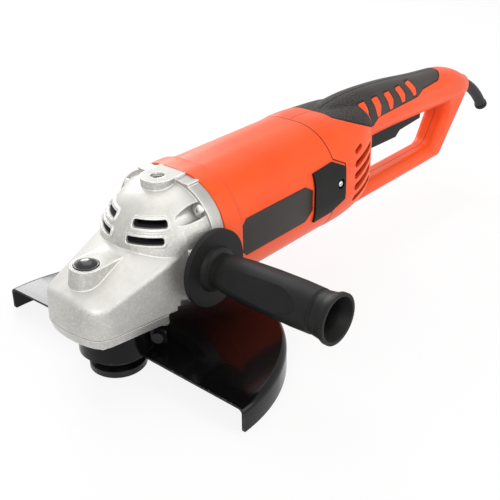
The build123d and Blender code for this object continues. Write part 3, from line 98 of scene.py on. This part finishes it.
placeCamera(cameraSpec)
print("camera placed")


class Wire:  # the output of a node, ready for sums
    def __init__(self, graph, socket):
        self.graph = graph
        self.socket = socket

    def sum(self, operation, *values):
        return self.graph.node("ShaderNodeMath", {"operation": operation}, dict(enumerate(values)))

    def __add__(self, other):
        return self.sum("ADD", self, other)

    def __radd__(self, other):
        return self.sum("ADD", other, self)

    def __sub__(self, other):
        return self.sum("SUBTRACT", self, other)

    def __rsub__(self, other):
        return self.sum("SUBTRACT", other, self)

    def __mul__(self, other):
        return self.sum("MULTIPLY", self, other)

    def __rmul__(self, other):
        return self.sum("MULTIPLY", other, self)

    def __gt__(self, other):
        return self.sum("GREATER_THAN", self, other)

    def __lt__(self, other):
        return self.sum("LESS_THAN", self, other)

    def most(self, other):
        return self.sum("MAXIMUM", self, other)

    def __abs__(self):
        return self.sum("ABSOLUTE", self)


class Graph:  # one node tree, written as sums of wires
    edgeSpan = (0.985, 0.86)  # how far the rounded normal leans away at an edge
    slotSpan = (0.7, 0.25)  # how little of the open air a slot wall sees

    def __init__(self, tree):
        self.tree = tree
        self.cache = {}

    def feed(self, socket, value):
        if isinstance(value, Wire):
            self.tree.links.new(value.socket, socket)
        else:
            socket.default_value = value

    def node(self, kind, settings=None, sockets=None, out=0):
        made = self.tree.nodes.new(kind)
        for key, value in (settings or {}).items():
            setattr(made, key, value)
        for key, value in (sockets or {}).items():
            self.feed(made.inputs[key], value)
        return Wire(self, made.outputs[out])

    def shared(self, kind, out):
        if (kind, out) not in self.cache:
            self.cache[kind, out] = self.node(kind, out=out)
        return self.cache[kind, out]

    def place(self):
        return self.shared("ShaderNodeTexCoord", "Object")

    def normal(self):
        return self.shared("ShaderNodeNewGeometry", "Normal")

    def axis(self, letter):
        return self.node("ShaderNodeSeparateXYZ", None, {0: self.place()}, letter)

    def facing(self, letter):
        return self.node("ShaderNodeSeparateXYZ", None, {0: self.normal()}, letter)

    def noise(self, scale, detail=2.0, rough=0.5):
        values = {"Vector": self.place(), "Scale": scale, "Detail": detail, "Roughness": rough}
        return self.node("ShaderNodeTexNoise", None, values, "Fac")

    def cells(self, scale):
        values = {"Vector": self.place(), "Scale": scale}
        return self.node("ShaderNodeTexVoronoi", None, values, "Distance")

    def apart(self, point):
        values = {0: self.place(), 1: point}
        return self.node("ShaderNodeVectorMath", {"operation": "DISTANCE"}, values, "Value")

    def ramp(self, value, low, high):
        values = {0: value, 1: low, 2: high, 3: 0.0, 4: 1.0}
        return self.node("ShaderNodeMapRange", {"clamp": True}, values)

    def blend(self, mask, under, over):
        return self.node("ShaderNodeMix", {"data_type": "RGBA"}, {0: mask, 6: under, 7: over}, 2)

    def roundEdge(self, radius):
        return self.node("ShaderNodeBevel", {"samples": 4}, {"Radius": radius})

    def edge(self, radius):  # 1 along sharp edges, 0 on open faces
        values = {0: self.roundEdge(radius), 1: self.normal()}
        lean = self.node("ShaderNodeVectorMath", {"operation": "DOT_PRODUCT"}, values, "Value")
        return self.ramp(lean, *self.edgeSpan)

    def hollow(self, reach):  # 1 deep in a slot, 0 on open faces
        settings = {"samples": 8, "only_local": True}
        clear = self.node("ShaderNodeAmbientOcclusion", settings, {"Distance": reach}, "AO")
        return self.ramp(clear, *self.slotSpan)

    def spot(self, first, second, radius):  # 1 within a radius of where both run through zero
        return first * first + second * second < radius ** 2

    def bump(self, height, depth, under):
        values = {"Height": height, "Distance": depth, "Strength": 1.0, "Normal": under}
        return self.node("ShaderNodeBump", None, values)


class Finish(Graph):  # a material whose fixed values sit on its shader
    def __init__(self, name, **fixed):
        self.material = bpy.data.materials.new(name)
        self.material.use_nodes = True
        super().__init__(self.material.node_tree)
        self.shader = self.tree.nodes["Principled BSDF"]
        self.set(**fixed)

    def set(self, **values):
        for socket, value in values.items():
            self.feed(self.shader.inputs[socket.replace("_", " ")], value)
        return self.material


def tint(red, green, blue):
    return (red, green, blue, 1.0)


orangeSpec = {
    "base": tint(0.93, 0.098, 0.016),
    "deep": tint(0.85, 0.078, 0.011),
    "gap": tint(0.2, 0.014, 0.004),
    # painted shade: the colour deep in the vent slots and creases
    "slot": tint(0.07, 0.005, 0.0015),
    "slotShadeReach": 0.005,
    "specular": 0.24,
    "rough": 0.33,
    "edgeRound": 0.0009,
    "seamX": 0.2001,
    "tongueY": 0.036,
    "tongueTop": (0.462, 0.887, -0.1782),  # slope in X, slope in Z, offset
    "tongueFoot": (0.324, -0.946, -0.0147),
    "tongueRear": 0.2141,
    "halfGap": 0.00045,
    "gapDepth": 0.0003,
    "partingHalf": 0.000315,
    "partingFront": 0.25,  # the parting line is faint ahead of the seam
    "collarSpan": (0.0845, 0.0815),
    "collarLift": 5.0,
    "cloud": (14, 4),  # noise scale, detail
    "cloudSpan": (0.35, 0.7),
    "flow": (24, 2),
    "flowDepth": 0.0002,
    "grain": (2600, 2),
    "grainDepth": 0.00003,
}


def orangePlastic(spec):
    f = Finish("orangePlastic", Specular_IOR_Level=spec["specular"])
    x, y, z = f.axis("X"), abs(f.axis("Y")), f.axis("Z")
    slopes = (spec["tongueTop"], spec["tongueFoot"])
    top, foot = [run * x + rise * z + base for run, rise, base in slopes]
    past = top.most(foot).most(x - spec["tongueRear"])  # how far outside the side tongue
    side, behind = y > spec["tongueY"], x > spec["seamX"]
    across = (abs(x - spec["seamX"]) < spec["halfGap"]) * (1 - side * (past < 0.0))
    around = (abs(past) < spec["halfGap"]) * side * behind
    faint = spec["partingFront"]
    parting = (y < spec["partingHalf"]) * (faint + (1 - faint) * behind)
    seam = f.ramp(across + around + 0.7 * parting, 0.0, 1.0)
    cloud = f.ramp(f.noise(*spec["cloud"]), *spec["cloudSpan"])
    grain = f.noise(*spec["grain"])
    shade = f.blend(seam, f.blend(cloud, spec["base"], spec["deep"]), spec["gap"])
    collar = f.ramp(x, *spec["collarSpan"])  # the ring behind the flange steps down here
    swell = f.noise(*spec["flow"]) + spec["collarLift"] * collar
    flow = f.bump(swell, spec["flowDepth"], f.roundEdge(spec["edgeRound"]))
    return f.set(
        # painted shade darkens the orange towards the slot colour where little open air is seen
        Base_Color=f.blend(f.hollow(spec["slotShadeReach"]), shade, spec["slot"]),
        Roughness=spec["rough"] + 0.1 * grain + 0.3 * seam,
        Normal=f.bump(grain, spec["grainDepth"], f.bump(seam * -1.0, spec["gapDepth"], flow)),
    )


gripSpec = {
    "base": tint(0.037, 0.031, 0.028),
    "worn": tint(0.055, 0.046, 0.042),
    # dark colour for the parting seam, and painted shade in the pebble crevices and along the window edges
    "gap": tint(0.006, 0.005, 0.005),
    "specular": 0.26,
    "rough": 0.5,
    "edgeRound": 0.0007,
    "halfGap": 0.0006,
    "edgeShadeWidth": 0.0028,
    "wear": (30, 5),
    "wearSpan": (0.4, 0.75),
    "fine": (3000, 2),
    "pebbleCells": 520,
    "pebbleSpan": (0.28, 0.6),
    "pebbleFade": (0.31, 0.28),  # the pebbles end here along X
    "depth": 0.0002,
}


def softGrip(spec):
    f = Finish("softGrip", Specular_IOR_Level=spec["specular"])
    front = f.ramp(f.axis("X"), *spec["pebbleFade"])
    seam = abs(f.axis("Y")) < spec["halfGap"]
    fine = f.noise(*spec["fine"])
    pebble = f.cells(spec["pebbleCells"])
    skin = f.blend(f.ramp(f.noise(*spec["wear"]), *spec["wearSpan"]), spec["base"], spec["worn"])
    # painted shade in the crevices between the pebbles at the front
    pebblesWithCreviceShade = f.blend(f.ramp(pebble, *spec["pebbleSpan"]) * front * 0.7, skin, spec["gap"])
    # the dark parting seam, plus painted shade along the window edges
    seamAndEdgeShade = f.ramp(seam + f.edge(spec["edgeShadeWidth"]), 0.0, 1.0)
    height = -2.5 * pebble * front + 0.2 * fine - 1.5 * seam
    return f.set(
        Base_Color=f.blend(seamAndEdgeShade, pebblesWithCreviceShade, spec["gap"]),
        Roughness=spec["rough"] + 0.12 * fine + 0.1 * front + 0.4 * seamAndEdgeShade,
        Normal=f.bump(height, spec["depth"], f.roundEdge(spec["edgeRound"])),
    )


castSpec = {
    "base": tint(0.6, 0.585, 0.555),
    # darker colour for real stains, and painted shade on the standing walls
    "stainAndWallShade": tint(0.4, 0.39, 0.365),
    # lighter colour for the grain sparkle and for the rubbed edges, which also carry a painted edge highlight
    "bright": tint(0.86, 0.85, 0.82),
    # painted shade for the level tops and the flange end
    "paintedTopAndFlangeShade": tint(0.27, 0.263, 0.248),
    # painted shade deep inside the dome's air vents
    "inside": tint(0.012, 0.012, 0.012),
    "specular": 0.4,
    "metallic": 0.78,
    "rough": 0.52,
    "edgeRound": 0.0012,
    "rubAndHighlightWidth": 0.0016,
    "domeCentre": (0.051, 0.0, 0.072),
    "airSpan": (0.0444, 0.0434),  # skin and air side of the dome's wall
    "airFloor": 0.0862,
    "screwAt": (0.0355, 0.1035),
    "pocketRadius": 0.0064,
    "flangeSpan": (0.046, 0.06),
    "uprightSpan": (0.75, 0.35),
    "levelSpan": (0.965, 0.995),
    "fineGrain": (1300, 5, 0.7),  # noise scale, detail, roughness
    "coarseGrain": (480, 4, 0.7),
    "grainSpan": (0.48, 0.66),
    "pitCells": 520,
    "pitSpan": (0.02, 0.35),
    "stain": (26, 6, 0.6),
    "stainSpan": (0.42, 0.68),
    "wave": (55, 2),
    "depth": 0.0003,
}


def castAluminium(spec):
    f = Finish("castAluminium", Specular_IOR_Level=spec["specular"])
    upright = f.ramp(f.facing("Z"), *spec["uprightSpan"])  # the sand grain shows on standing walls, which are also painted darker as painted shade
    across, up = abs(f.axis("Y")) - spec["screwAt"][0], f.axis("Z") - spec["screwAt"][1]
    pocket = f.spot(across, up, spec["pocketRadius"])  # the screw scoops stay bright, out of the painted vent shade
    depth = f.ramp(f.apart(spec["domeCentre"]), *spec["airSpan"])
    inside = depth * (f.axis("Z") > spec["airFloor"]) * (1 - pocket)
    grain = 0.5 * f.noise(*spec["fineGrain"]) + 0.5 * f.noise(*spec["coarseGrain"])
    pit = f.ramp(f.cells(spec["pitCells"]), *spec["pitSpan"])
    stain = f.ramp(f.noise(*spec["stain"]), *spec["stainSpan"])
    # rubbed edges, painted lighter both as wear and as a painted edge highlight
    rubAndEdgeHighlight = f.edge(spec["rubAndHighlightWidth"])
    level = f.ramp(f.facing("Z"), *spec["levelSpan"])  # level tops are painted darker, as painted shade
    flange = f.ramp(f.axis("X"), *spec["flangeSpan"])  # and the flange end gets the same painted shade
    # real stains plus painted shade that darkens the standing walls
    cast = f.blend(f.ramp(0.5 * stain + 0.4 * upright, 0.1, 1.0), spec["base"], spec["stainAndWallShade"])
    skin = f.blend((0.8 * level).most(0.65 * flange), cast, spec["paintedTopAndFlangeShade"])
    sparkle = f.ramp(grain, *spec["grainSpan"]) * (0.12 + 0.4 * upright) * (1 - 0.6 * flange)
    rubbedAndHighlighted = f.blend(rubAndEdgeHighlight, f.blend(sparkle, skin, spec["bright"]), spec["bright"])
    rough = spec["rough"] - 0.14 * upright + 0.08 * stain + 0.06 * grain - 0.08 * rubAndEdgeHighlight + 0.3 * inside
    height = (1.6 * grain + 0.3 * pit) * (0.15 + 0.85 * upright)
    wave = f.bump(f.noise(*spec["wave"]), spec["depth"], f.roundEdge(spec["edgeRound"]))
    return f.set(
        Base_Color=f.blend(inside, rubbedAndHighlighted, spec["inside"]),
        Metallic=(spec["metallic"] + 0.15 * rubAndEdgeHighlight) * (1 - inside),
        Roughness=rough,
        Normal=f.bump(height, spec["depth"], wave),
    )


guardSpec = {
    "base": tint(0.003, 0.003, 0.0032),
    "dust": tint(0.03, 0.03, 0.03),
    "steel": tint(0.3, 0.3, 0.31),
    "specular": 0.12,
    "coatRough": 0.06,
    "coat": 0.14,
    "rough": 0.14,
    "edgeRound": 0.0005,
    "peel": (260, 3),
    "peelDepth": 0.00004,
    "speck": (700, 4, 0.7),
    "speckSpan": (0.68, 0.78),
    "chipWidth": 0.0006,
    "chip": (320, 5, 0.7),
    "chipSpan": (0.54, 0.62),
}


def guardPaint(spec):
    f = Finish("guardPaint", Specular_IOR_Level=spec["specular"], Coat_Roughness=spec["coatRough"])
    peel = f.noise(*spec["peel"])
    dust = f.ramp(f.noise(*spec["speck"]), *spec["speckSpan"])
    chip = f.edge(spec["chipWidth"]) * f.ramp(f.noise(*spec["chip"]), *spec["chipSpan"])
    return f.set(
        Base_Color=f.blend(chip, f.blend(0.3 * dust, spec["base"], spec["dust"]), spec["steel"]),
        Metallic=0.8 * chip,
        Roughness=spec["rough"] + 0.2 * dust + 0.08 * peel,
        Coat_Weight=spec["coat"] - 0.1 * dust,
        Normal=f.bump(peel, spec["peelDepth"], f.roundEdge(spec["edgeRound"])),
    )


mouldSpec = {
    "edgeRound": 0.0007,
    "grain": (2200, 3),
    "grainDepth": 0.00005,
    "cloud": (34, 5),
    "cloudSpan": (0.4, 0.72),
}
coverWell = {"shade": tint(0.001, 0.001, 0.001), "centre": (0.2056, 0.0748), "radius": 0.0044}


def moulded(name, base, lift, rough, gloss=0.2, well=None):
    f = Finish(name, Specular_IOR_Level=gloss)
    grain = f.noise(*mouldSpec["grain"])
    cloud = f.ramp(f.noise(*mouldSpec["cloud"]), *mouldSpec["cloudSpan"])
    shade = f.blend(cloud, base, lift)
    matt = rough + 0.1 * grain + 0.05 * cloud
    if well:  # the shaded well around the screw
        along, up = f.axis("X") - well["centre"][0], f.axis("Z") - well["centre"][1]
        deep = f.spot(along, up, well["radius"])
        shade = f.blend(deep, shade, well["shade"])
        matt = matt + 0.5 * deep
    relief = f.bump(grain, mouldSpec["grainDepth"], f.roundEdge(mouldSpec["edgeRound"]))
    return f.set(Base_Color=shade, Roughness=matt, Normal=relief)


metalSpec = {
    "edgeRound": 0.0004,
    "wear": (900, 5, 0.7),
    "wearDepth": 0.00002,
    "stain": (60, 5),
    "stainSpan": (0.4, 0.7),
}


def plainMetal(name, base, dark, rough, metallic=1.0):
    f = Finish(name)
    wear = f.noise(*metalSpec["wear"])
    stain = f.ramp(f.noise(*metalSpec["stain"]), *metalSpec["stainSpan"])
    return f.set(
        Base_Color=f.blend(stain, base, dark),
        Metallic=metallic - 0.15 * stain,
        Roughness=rough + 0.15 * wear,
        Normal=f.bump(wear, metalSpec["wearDepth"], f.roundEdge(metalSpec["edgeRound"])),
    )


finishes = {
    "orange_plastic": orangePlastic(orangeSpec),
    "soft_rubber": softGrip(gripSpec),
    "cast_aluminium": castAluminium(castSpec),
    "guard_paint": guardPaint(guardSpec),
    "black_plastic": moulded("blackPlastic", tint(0.006, 0.006, 0.006), tint(0.012, 0.012, 0.0112), 0.46),
    "cover_plastic": moulded(
        "coverPlastic", tint(0.006, 0.0058, 0.0057), tint(0.011, 0.0106, 0.0104), 0.42, 0.14, coverWell
    ),
    "gasket": moulded("gasketPaper", tint(0.1, 0.085, 0.07), tint(0.16, 0.13, 0.1), 0.8),
    "carbon": moulded("brushCarbon", tint(0.02, 0.02, 0.021), tint(0.04, 0.04, 0.04), 0.6),
    "zinc": plainMetal("zincPlate", tint(0.8, 0.8, 0.78), tint(0.6, 0.6, 0.57), 0.22),
    "bearing_steel": plainMetal("groundSteel", tint(0.62, 0.62, 0.63), tint(0.48, 0.48, 0.48), 0.26),
    "gear_steel": plainMetal("hardSteel", tint(0.36, 0.36, 0.37), tint(0.24, 0.24, 0.24), 0.32),
    "spring_steel": plainMetal("springWire", tint(0.5, 0.5, 0.5), tint(0.36, 0.36, 0.36), 0.3),
    "black_steel": plainMetal("blackOxide", tint(0.014, 0.014, 0.0145), tint(0.03, 0.029, 0.028), 0.34, 0.7),
    "lamination": plainMetal("laminations", tint(0.26, 0.26, 0.27), tint(0.16, 0.15, 0.15), 0.45),
    "copper": plainMetal("woundCopper", tint(0.68, 0.28, 0.13), tint(0.42, 0.16, 0.08), 0.4),
    "brass": plainMetal("drawnBrass", tint(0.72, 0.52, 0.22), tint(0.5, 0.36, 0.16), 0.3),
}
labelFinish = moulded("labelFoil", tint(0.03, 0.0255, 0.023), tint(0.036, 0.031, 0.028), 0.42, 0.24)
buttonFinish = moulded("buttonGloss", tint(0.012, 0.012, 0.012), tint(0.018, 0.018, 0.018), 0.14, 0.5)
sleeveFinish = moulded("sleeveRubber", tint(0.012, 0.0115, 0.011), tint(0.02, 0.019, 0.018), 0.5, 0.3)
ownFinish = {"cord_sleeve": sleeveFinish}  # darker than the grip of the same rubber
print("finishes made:", len(finishes) + 3)

creaseSpec = {"weld": 0.000002, "angle": math.radians(32)}
for entry in frame["record"]["subparts"]:
    part = nodes[entry["node"]]
    part.data.materials.clear()
    part.data.materials.append(ownFinish.get(entry["node"], finishes[entry["material_slot"]]))
    part.data.polygons.foreach_set("use_smooth", [True] * len(part.data.polygons))
    part.modifiers.new("weld", "WELD").merge_threshold = creaseSpec["weld"]
    part.modifiers.new("creases", "EDGE_SPLIT").split_angle = creaseSpec["angle"]
print("finishes on the frame")


def addPiece(name, mesh, finish, slot, body, *replaced):
    mesh.materials.append(finish)
    mesh.polygons.foreach_set("use_smooth", [True] * len(mesh.polygons))
    mesh.set_sharp_from_angle(angle=creaseSpec["angle"])
    piece = bpy.data.objects.new(name, mesh)
    bpy.context.scene.collection.objects.link(piece)
    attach(piece, body)
    if replaced:
        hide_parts(*replaced)
    return piece


def toMesh(name, shape):
    bmesh.ops.recalc_face_normals(shape, faces=shape.faces)
    mesh = bpy.data.meshes.new(name)
    shape.to_mesh(mesh)
    shape.free()
    return mesh


def onCircle(radius, angle, height):
    return (radius * math.cos(angle), radius * math.sin(angle), height)


def revolved(profile, steps):  # (radius, height) in mm, turned about Z
    shape = bmesh.new()
    angles = [2 * math.pi * step / steps for step in range(steps)]
    rings = []
    for radius, height in profile:
        spread = angles if radius else angles[:1]  # a point on the axis is one vertex
        rings.append([shape.verts.new(onCircle(radius * mm, a, height * mm)) for a in spread])
    for low, high in zip(rings, rings[1:]):
        for step in range(steps):
            after = (step + 1) % steps
            corners = [low[step % len(low)], low[after % len(low)]]
            corners += [high[after % len(high)], high[step % len(high)]]
            shape.faces.new(list(dict.fromkeys(corners)))
    return shape


def skinned(shape, rings):  # side faces between rings, and a cap on each end
    for low, high in zip(rings, rings[1:]):
        for i in range(len(low)):
            j = (i + 1) % len(low)
            shape.faces.new([low[i], low[j], high[j], high[i]])
    shape.faces.new(rings[0])
    shape.faces.new(rings[-1])
    return shape


def facingTo(place, axis):
    turn = Vector((0, 0, 1)).rotation_difference(Vector(axis)).to_matrix().to_4x4()
    return Matrix.Translation(Vector(place) * mm) @ turn


screwShape = {
    "tip": 0.8,  # of the shank
    "tipLength": 1.0,
    "dome": [(1, 0), (1, 0.3), (0.97, 0.45), (0.86, 0.72), (0.62, 0.93), (0.3, 1), (0, 1)],  # of the head
    "sides": 40,
    "crossTaper": 0.6,
    "cutterRise": 1.0,
}


def crossCutter(spec):  # tapered cross for a driver, open side up
    arm, half = spec["crossArm"], spec["crossHalf"]
    outline = [(arm, half), (half, half), (half, arm), (-half, arm), (-half, half), (-arm, half)]
    outline += [(-x, -y) for x, y in outline]
    top = spec["rise"] + screwShape["cutterRise"]
    floor = spec["rise"] - spec["crossDepth"]
    shape = bmesh.new()
    rings = []
    for share, height in ((1.0, top), (screwShape["crossTaper"], floor)):
        rings.append([shape.verts.new((x * share * mm, y * share * mm, height * mm)) for x, y in outline])
    return toMesh("crossCutter", skinned(shape, rings))


def carved(body, cutter):
    block = bpy.data.objects.new("block", body)
    tool = bpy.data.objects.new("tool", cutter)
    for thing in (block, tool):
        bpy.context.scene.collection.objects.link(thing)
    cut = block.modifiers.new("cut", "BOOLEAN")
    cut.operation = "DIFFERENCE"
    cut.object = tool
    result = bpy.data.meshes.new_from_object(block.evaluated_get(bpy.context.evaluated_depsgraph_get()))
    for thing in (block, tool):
        bpy.data.objects.remove(thing)
    return result


def crossScrew(spec):
    shank, end = spec["shank"], -spec["length"]
    profile = [(0, end), (shank * screwShape["tip"], end), (shank, end + screwShape["tipLength"]), (shank, 0)]
    profile += [(spec["head"] * out, spec["rise"] * up) for out, up in screwShape["dome"]]
    return carved(toMesh("screw", revolved(profile, screwShape["sides"])), crossCutter(spec))


def addScrews(name, spec, slot, node):
    single = crossScrew(spec)
    shape = bmesh.new()
    for place, axis in spec["seats"]:
        count = len(shape.verts)
        shape.from_mesh(single)
        shape.verts.ensure_lookup_table()
        bmesh.ops.transform(shape, matrix=facingTo(place, axis), verts=shape.verts[count:])
    addPiece(name, toMesh(name, shape), finishes[slot], slot, "housing", node)


flangeScrewSpec = {
    "head": 4.4,
    "rise": 3.0,
    "shank": 2.4,
    "length": 19.0,
    "crossArm": 2.6,
    "crossHalf": 0.55,
    "crossDepth": 1.9,
    "seats": [((55, 35.5 * side, 72 + 31.5 * level), (-1, 0, 0)) for side in (-1, 1) for level in (-1, 1)],
}
addScrews("flangeCrossScrews", flangeScrewSpec, "zinc", "flange_screws")

brushScrewSpec = {
    "head": 2.6,
    "rise": 1.5,
    "shank": 1.8,
    "length": 8.8,
    "crossArm": 1.8,
    "crossHalf": 0.42,
    "crossDepth": 1.1,
    "seats": [((205.6, 48.4 * side, 74.8), (0, side, 0)) for side in (-1, 1)],
}
addScrews("brushCrossScrews", brushScrewSpec, "zinc", "brush_cover_screws")

coverScrewSpec = {
    "head": 3.8,
    "rise": 3.2,
    "shank": 2.4,
    "length": 18.0,
    "crossArm": 2.3,
    "crossHalf": 0.5,
    "crossDepth": 1.7,
    "seats": [(onCircle(37.0, math.radians(a), 30), (0, 0, -1)) for a in (144.0, 216.0, 62.0, -62.0)],
}
addScrews("coverCrossScrews", coverScrewSpec, "zinc", "cover_screws")

handleScrewSpec = {
    "head": 3.6,
    "rise": 1.8,
    "shank": 1.8,
    "length": 16.0,
    "crossArm": 2.1,
    "crossHalf": 0.45,
    "crossDepth": 1.3,
    "seats": [((x, 7, z), (0, 1, 0)) for x, z in ((300, 24), (422, 24), (453, 52))],
}
addScrews("handleCrossScrews", handleScrewSpec, "zinc", "handle_screws")
print("screws cut")

labelSpec = {
    "outline": [  # X and Z in mm
        (85.9, 82.9),
        (90.4, 86.9),
        (160.4, 86.9),
        (169.7, 80.8),
        (169.7, 64.5),
        (160.9, 57.1),
        (90.1, 57.1),
        (85.9, 61.6),
    ],
    "floor": -47.0,
    "thick": 0.5,
    "edge": 0.15,
}


def bareLabel(spec):
    shape = bmesh.new()
    back = [shape.verts.new((x * mm, spec["floor"] * mm, z * mm)) for x, z in spec["outline"]]
    face = shape.faces.new(back)
    pushed = bmesh.ops.extrude_face_region(shape, geom=[face])["geom"]
    corners = [item for item in pushed if isinstance(item, bmesh.types.BMVert)]
    bmesh.ops.translate(shape, verts=corners, vec=(0, -spec["thick"] * mm, 0))
    rim = [e for e in shape.edges if all(v in corners for v in e.verts)]
    bmesh.ops.bevel(shape, geom=rim, offset=spec["edge"] * mm, segments=2, affect="EDGES", profile=0.5)
    addPiece("bareLabel", toMesh("bareLabel", shape), labelFinish, "cover_plastic", "housing")


bareLabel(labelSpec)

threadSpec = {
    "radius": 5.25,
    "depth": 0.62,
    "pitch": 1.5,
    "flank": 0.42,  # half the ridge's foot, of the pitch
    "crest": (0.85, 1.15),  # the flat top, of half the foot
    "turns": 11,
    "steps": 32,
    "holes": {"topThread": ((50.3, 0, 121.3), (0, 0, -1)), "rightThread": ((49.5, 48.1, 66), (0, -1, 0))},
}


def threadRidge(spec):  # a closed ridge wound down a hole
    outer, half = spec["radius"] * mm, spec["pitch"] * spec["flank"] * mm
    below, above = [half * share for share in spec["crest"]]
    shape = bmesh.new()
    rings = []
    for step in range(spec["turns"] * spec["steps"] + 1):
        turn = step / spec["steps"]
        ends = min(turn, spec["turns"] - turn, 1)  # the ridge runs out over one turn
        tip = outer - spec["depth"] * mm * ends
        a, rise = 2 * math.pi * turn, turn * spec["pitch"] * mm
        section = [(outer, rise), (tip, rise + below), (tip, rise + above), (outer, rise + 2 * half)]
        rings.append([shape.verts.new(onCircle(radius, a, height)) for radius, height in section])
    return skinned(shape, rings)


for name, (place, axis) in threadSpec["holes"].items():
    ridge = threadRidge(threadSpec)
    bmesh.ops.transform(ridge, matrix=facingTo(place, axis), verts=ridge.verts)
    addPiece(name, toMesh(name, ridge), finishes["cast_aluminium"], "cast_aluminium", "housing")
print("label and threads in place")

buttonSpec = {
    "centre": (-20.0, 0.0, 77.6),
    "skirt": [(0, 0), (9, 0), (9, 2.6), (8.8, 3.0), (8.3, 3.1), (7.9, 2.8)],
    "dome": [(7.5, 3.1), (6.6, 4.1), (5.2, 5.0), (3.4, 5.7), (1.6, 6.0), (0, 6.05)],
    "sides": 64,
}
button = revolved(buttonSpec["skirt"] + buttonSpec["dome"], buttonSpec["sides"])
bmesh.ops.translate(button, verts=button.verts, vec=Vector(buttonSpec["centre"]) * mm)
buttonMesh = toMesh("domedButton", button)
addPiece("domedButton", buttonMesh, buttonFinish, "black_plastic", "lock_button", "lock_button")

coilSpec = {
    "node": "lock_spring",
    "joint": "lock_press",
    "wire": 0.55,
    "endRoom": 1.1,  # of the wire, at each end
    "turns": 4,
    "steps": 24,
    "sides": 8,
    "keep": 0.33,
}


def lockCoil(spec):  # wound wire in the lock spring's place
    low, high = [Vector(corner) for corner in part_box(spec["node"])]
    wire = spec["wire"] * mm
    centre, foot, room = (low + high) / 2, low.z, spec["endRoom"] * wire
    radius, climb = (high.x - low.x) / 2 - wire, high.z - low.z - 2 * room
    count = spec["turns"] * spec["steps"]
    shape = bmesh.new()
    rings = []
    for step in range(count + 1):
        a = 2 * math.pi * step / spec["steps"]
        ring = []
        for side in range(spec["sides"]):
            b = 2 * math.pi * side / spec["sides"]
            rise = foot + room + climb * step / count + wire * math.sin(b)
            x, y, z = onCircle(radius + wire * math.cos(b), a, rise)
            ring.append(shape.verts.new((centre.x + x, centre.y + y, z)))
        rings.append(ring)
    mesh = toMesh("lockCoil", skinned(shape, rings))
    coil = addPiece("lockCoil", mesh, finishes["spring_steel"], "spring_steel", "housing", spec["node"])
    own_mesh(coil)


lockCoil(coilSpec)
print("button turned, spring wound")

stageSpec = {
    "half": 6.0,
    "level": cadBox[0].z - 0.0002,
    "shade": tint(0.93, 0.93, 0.93),
    "rough": 0.9,
    "specular": 0.1,
    "white": 0.86,
}


def seenRay(graph):  # 1 for the rays that should meet plain white
    camera = graph.shared("ShaderNodeLightPath", "Is Camera Ray")
    glossy = graph.shared("ShaderNodeLightPath", "Is Glossy Ray")
    through = graph.shared("ShaderNodeLightPath", "Is Transmission Ray")
    return graph.ramp(camera + glossy + through, 0.0, 1.0)


def paleFloor(spec):
    half, level = spec["half"], spec["level"]
    corners = [(-half, -half, level), (half, -half, level), (half, half, level), (-half, half, level)]
    mesh = bpy.data.meshes.new("floor")
    mesh.from_pydata(corners, [], [(0, 1, 2, 3)])
    floor = bpy.data.objects.new("floor", mesh)
    bpy.context.scene.collection.objects.link(floor)
    f = Finish("paleFloor", Base_Color=spec["shade"])
    f.set(Roughness=spec["rough"], Specular_IOR_Level=spec["specular"])
    glow = f.node("ShaderNodeEmission", None, {"Color": tint(1, 1, 1), "Strength": 1.0})
    shown = spec["white"] * seenRay(f)
    mixed = f.node("ShaderNodeMixShader", None, {0: shown, 1: Wire(f, f.shader.outputs[0]), 2: glow})
    below = f.shared("ShaderNodeNewGeometry", "Backfacing")  # seen from below, the floor is clear
    sided = f.node("ShaderNodeMixShader", None, {0: below, 1: mixed, 2: f.node("ShaderNodeBsdfTransparent")})
    f.feed(f.tree.nodes["Material Output"].inputs["Surface"], sided)
    mesh.materials.append(f.material)


paleFloor(stageSpec)

lightSpec = {
    "ambient": 0.36,
    "lamps": [
        {"name": "keyBox", "place": (-0.98, -0.55, 0.86), "aim": (0.1, 0, 0.05), "size": 0.8, "watts": 8.3},
        {"name": "topBox", "place": (0.45, 0.35, 1.3), "aim": (0.2, 0, 0.06), "size": 1.1, "watts": 6.6},
        {"name": "rimBox", "place": (0.7, 1.05, 0.66), "aim": (0.02, 0.09, 0.02), "size": 0.5, "watts": 8.8},
        {"name": "fillBox", "place": (0.55, -1.15, 0.6), "aim": (0.2, 0, 0.05), "size": 0.9, "watts": 7.2},
    ],
}


def studioLight(spec):
    sky = bpy.data.worlds.new("studio")
    sky.use_nodes = True
    bpy.context.scene.world = sky
    g = Graph(sky.node_tree)
    background = g.tree.nodes["Background"]
    background.inputs["Color"].default_value = tint(1, 1, 1)
    g.feed(background.inputs["Strength"], spec["ambient"] + (1 - spec["ambient"]) * seenRay(g))
    for lampSpec in spec["lamps"]:
        data = bpy.data.lights.new(lampSpec["name"], "AREA")
        data.size = lampSpec["size"]
        data.energy = lampSpec["watts"]
        lamp = bpy.data.objects.new(lampSpec["name"], data)
        bpy.context.scene.collection.objects.link(lamp)
        lamp.matrix_world = looking(lampSpec["place"], lampSpec["aim"])


studioLight(lightSpec)
bpy.context.scene.view_settings.view_transform = "Standard"
print("stage and light ready")
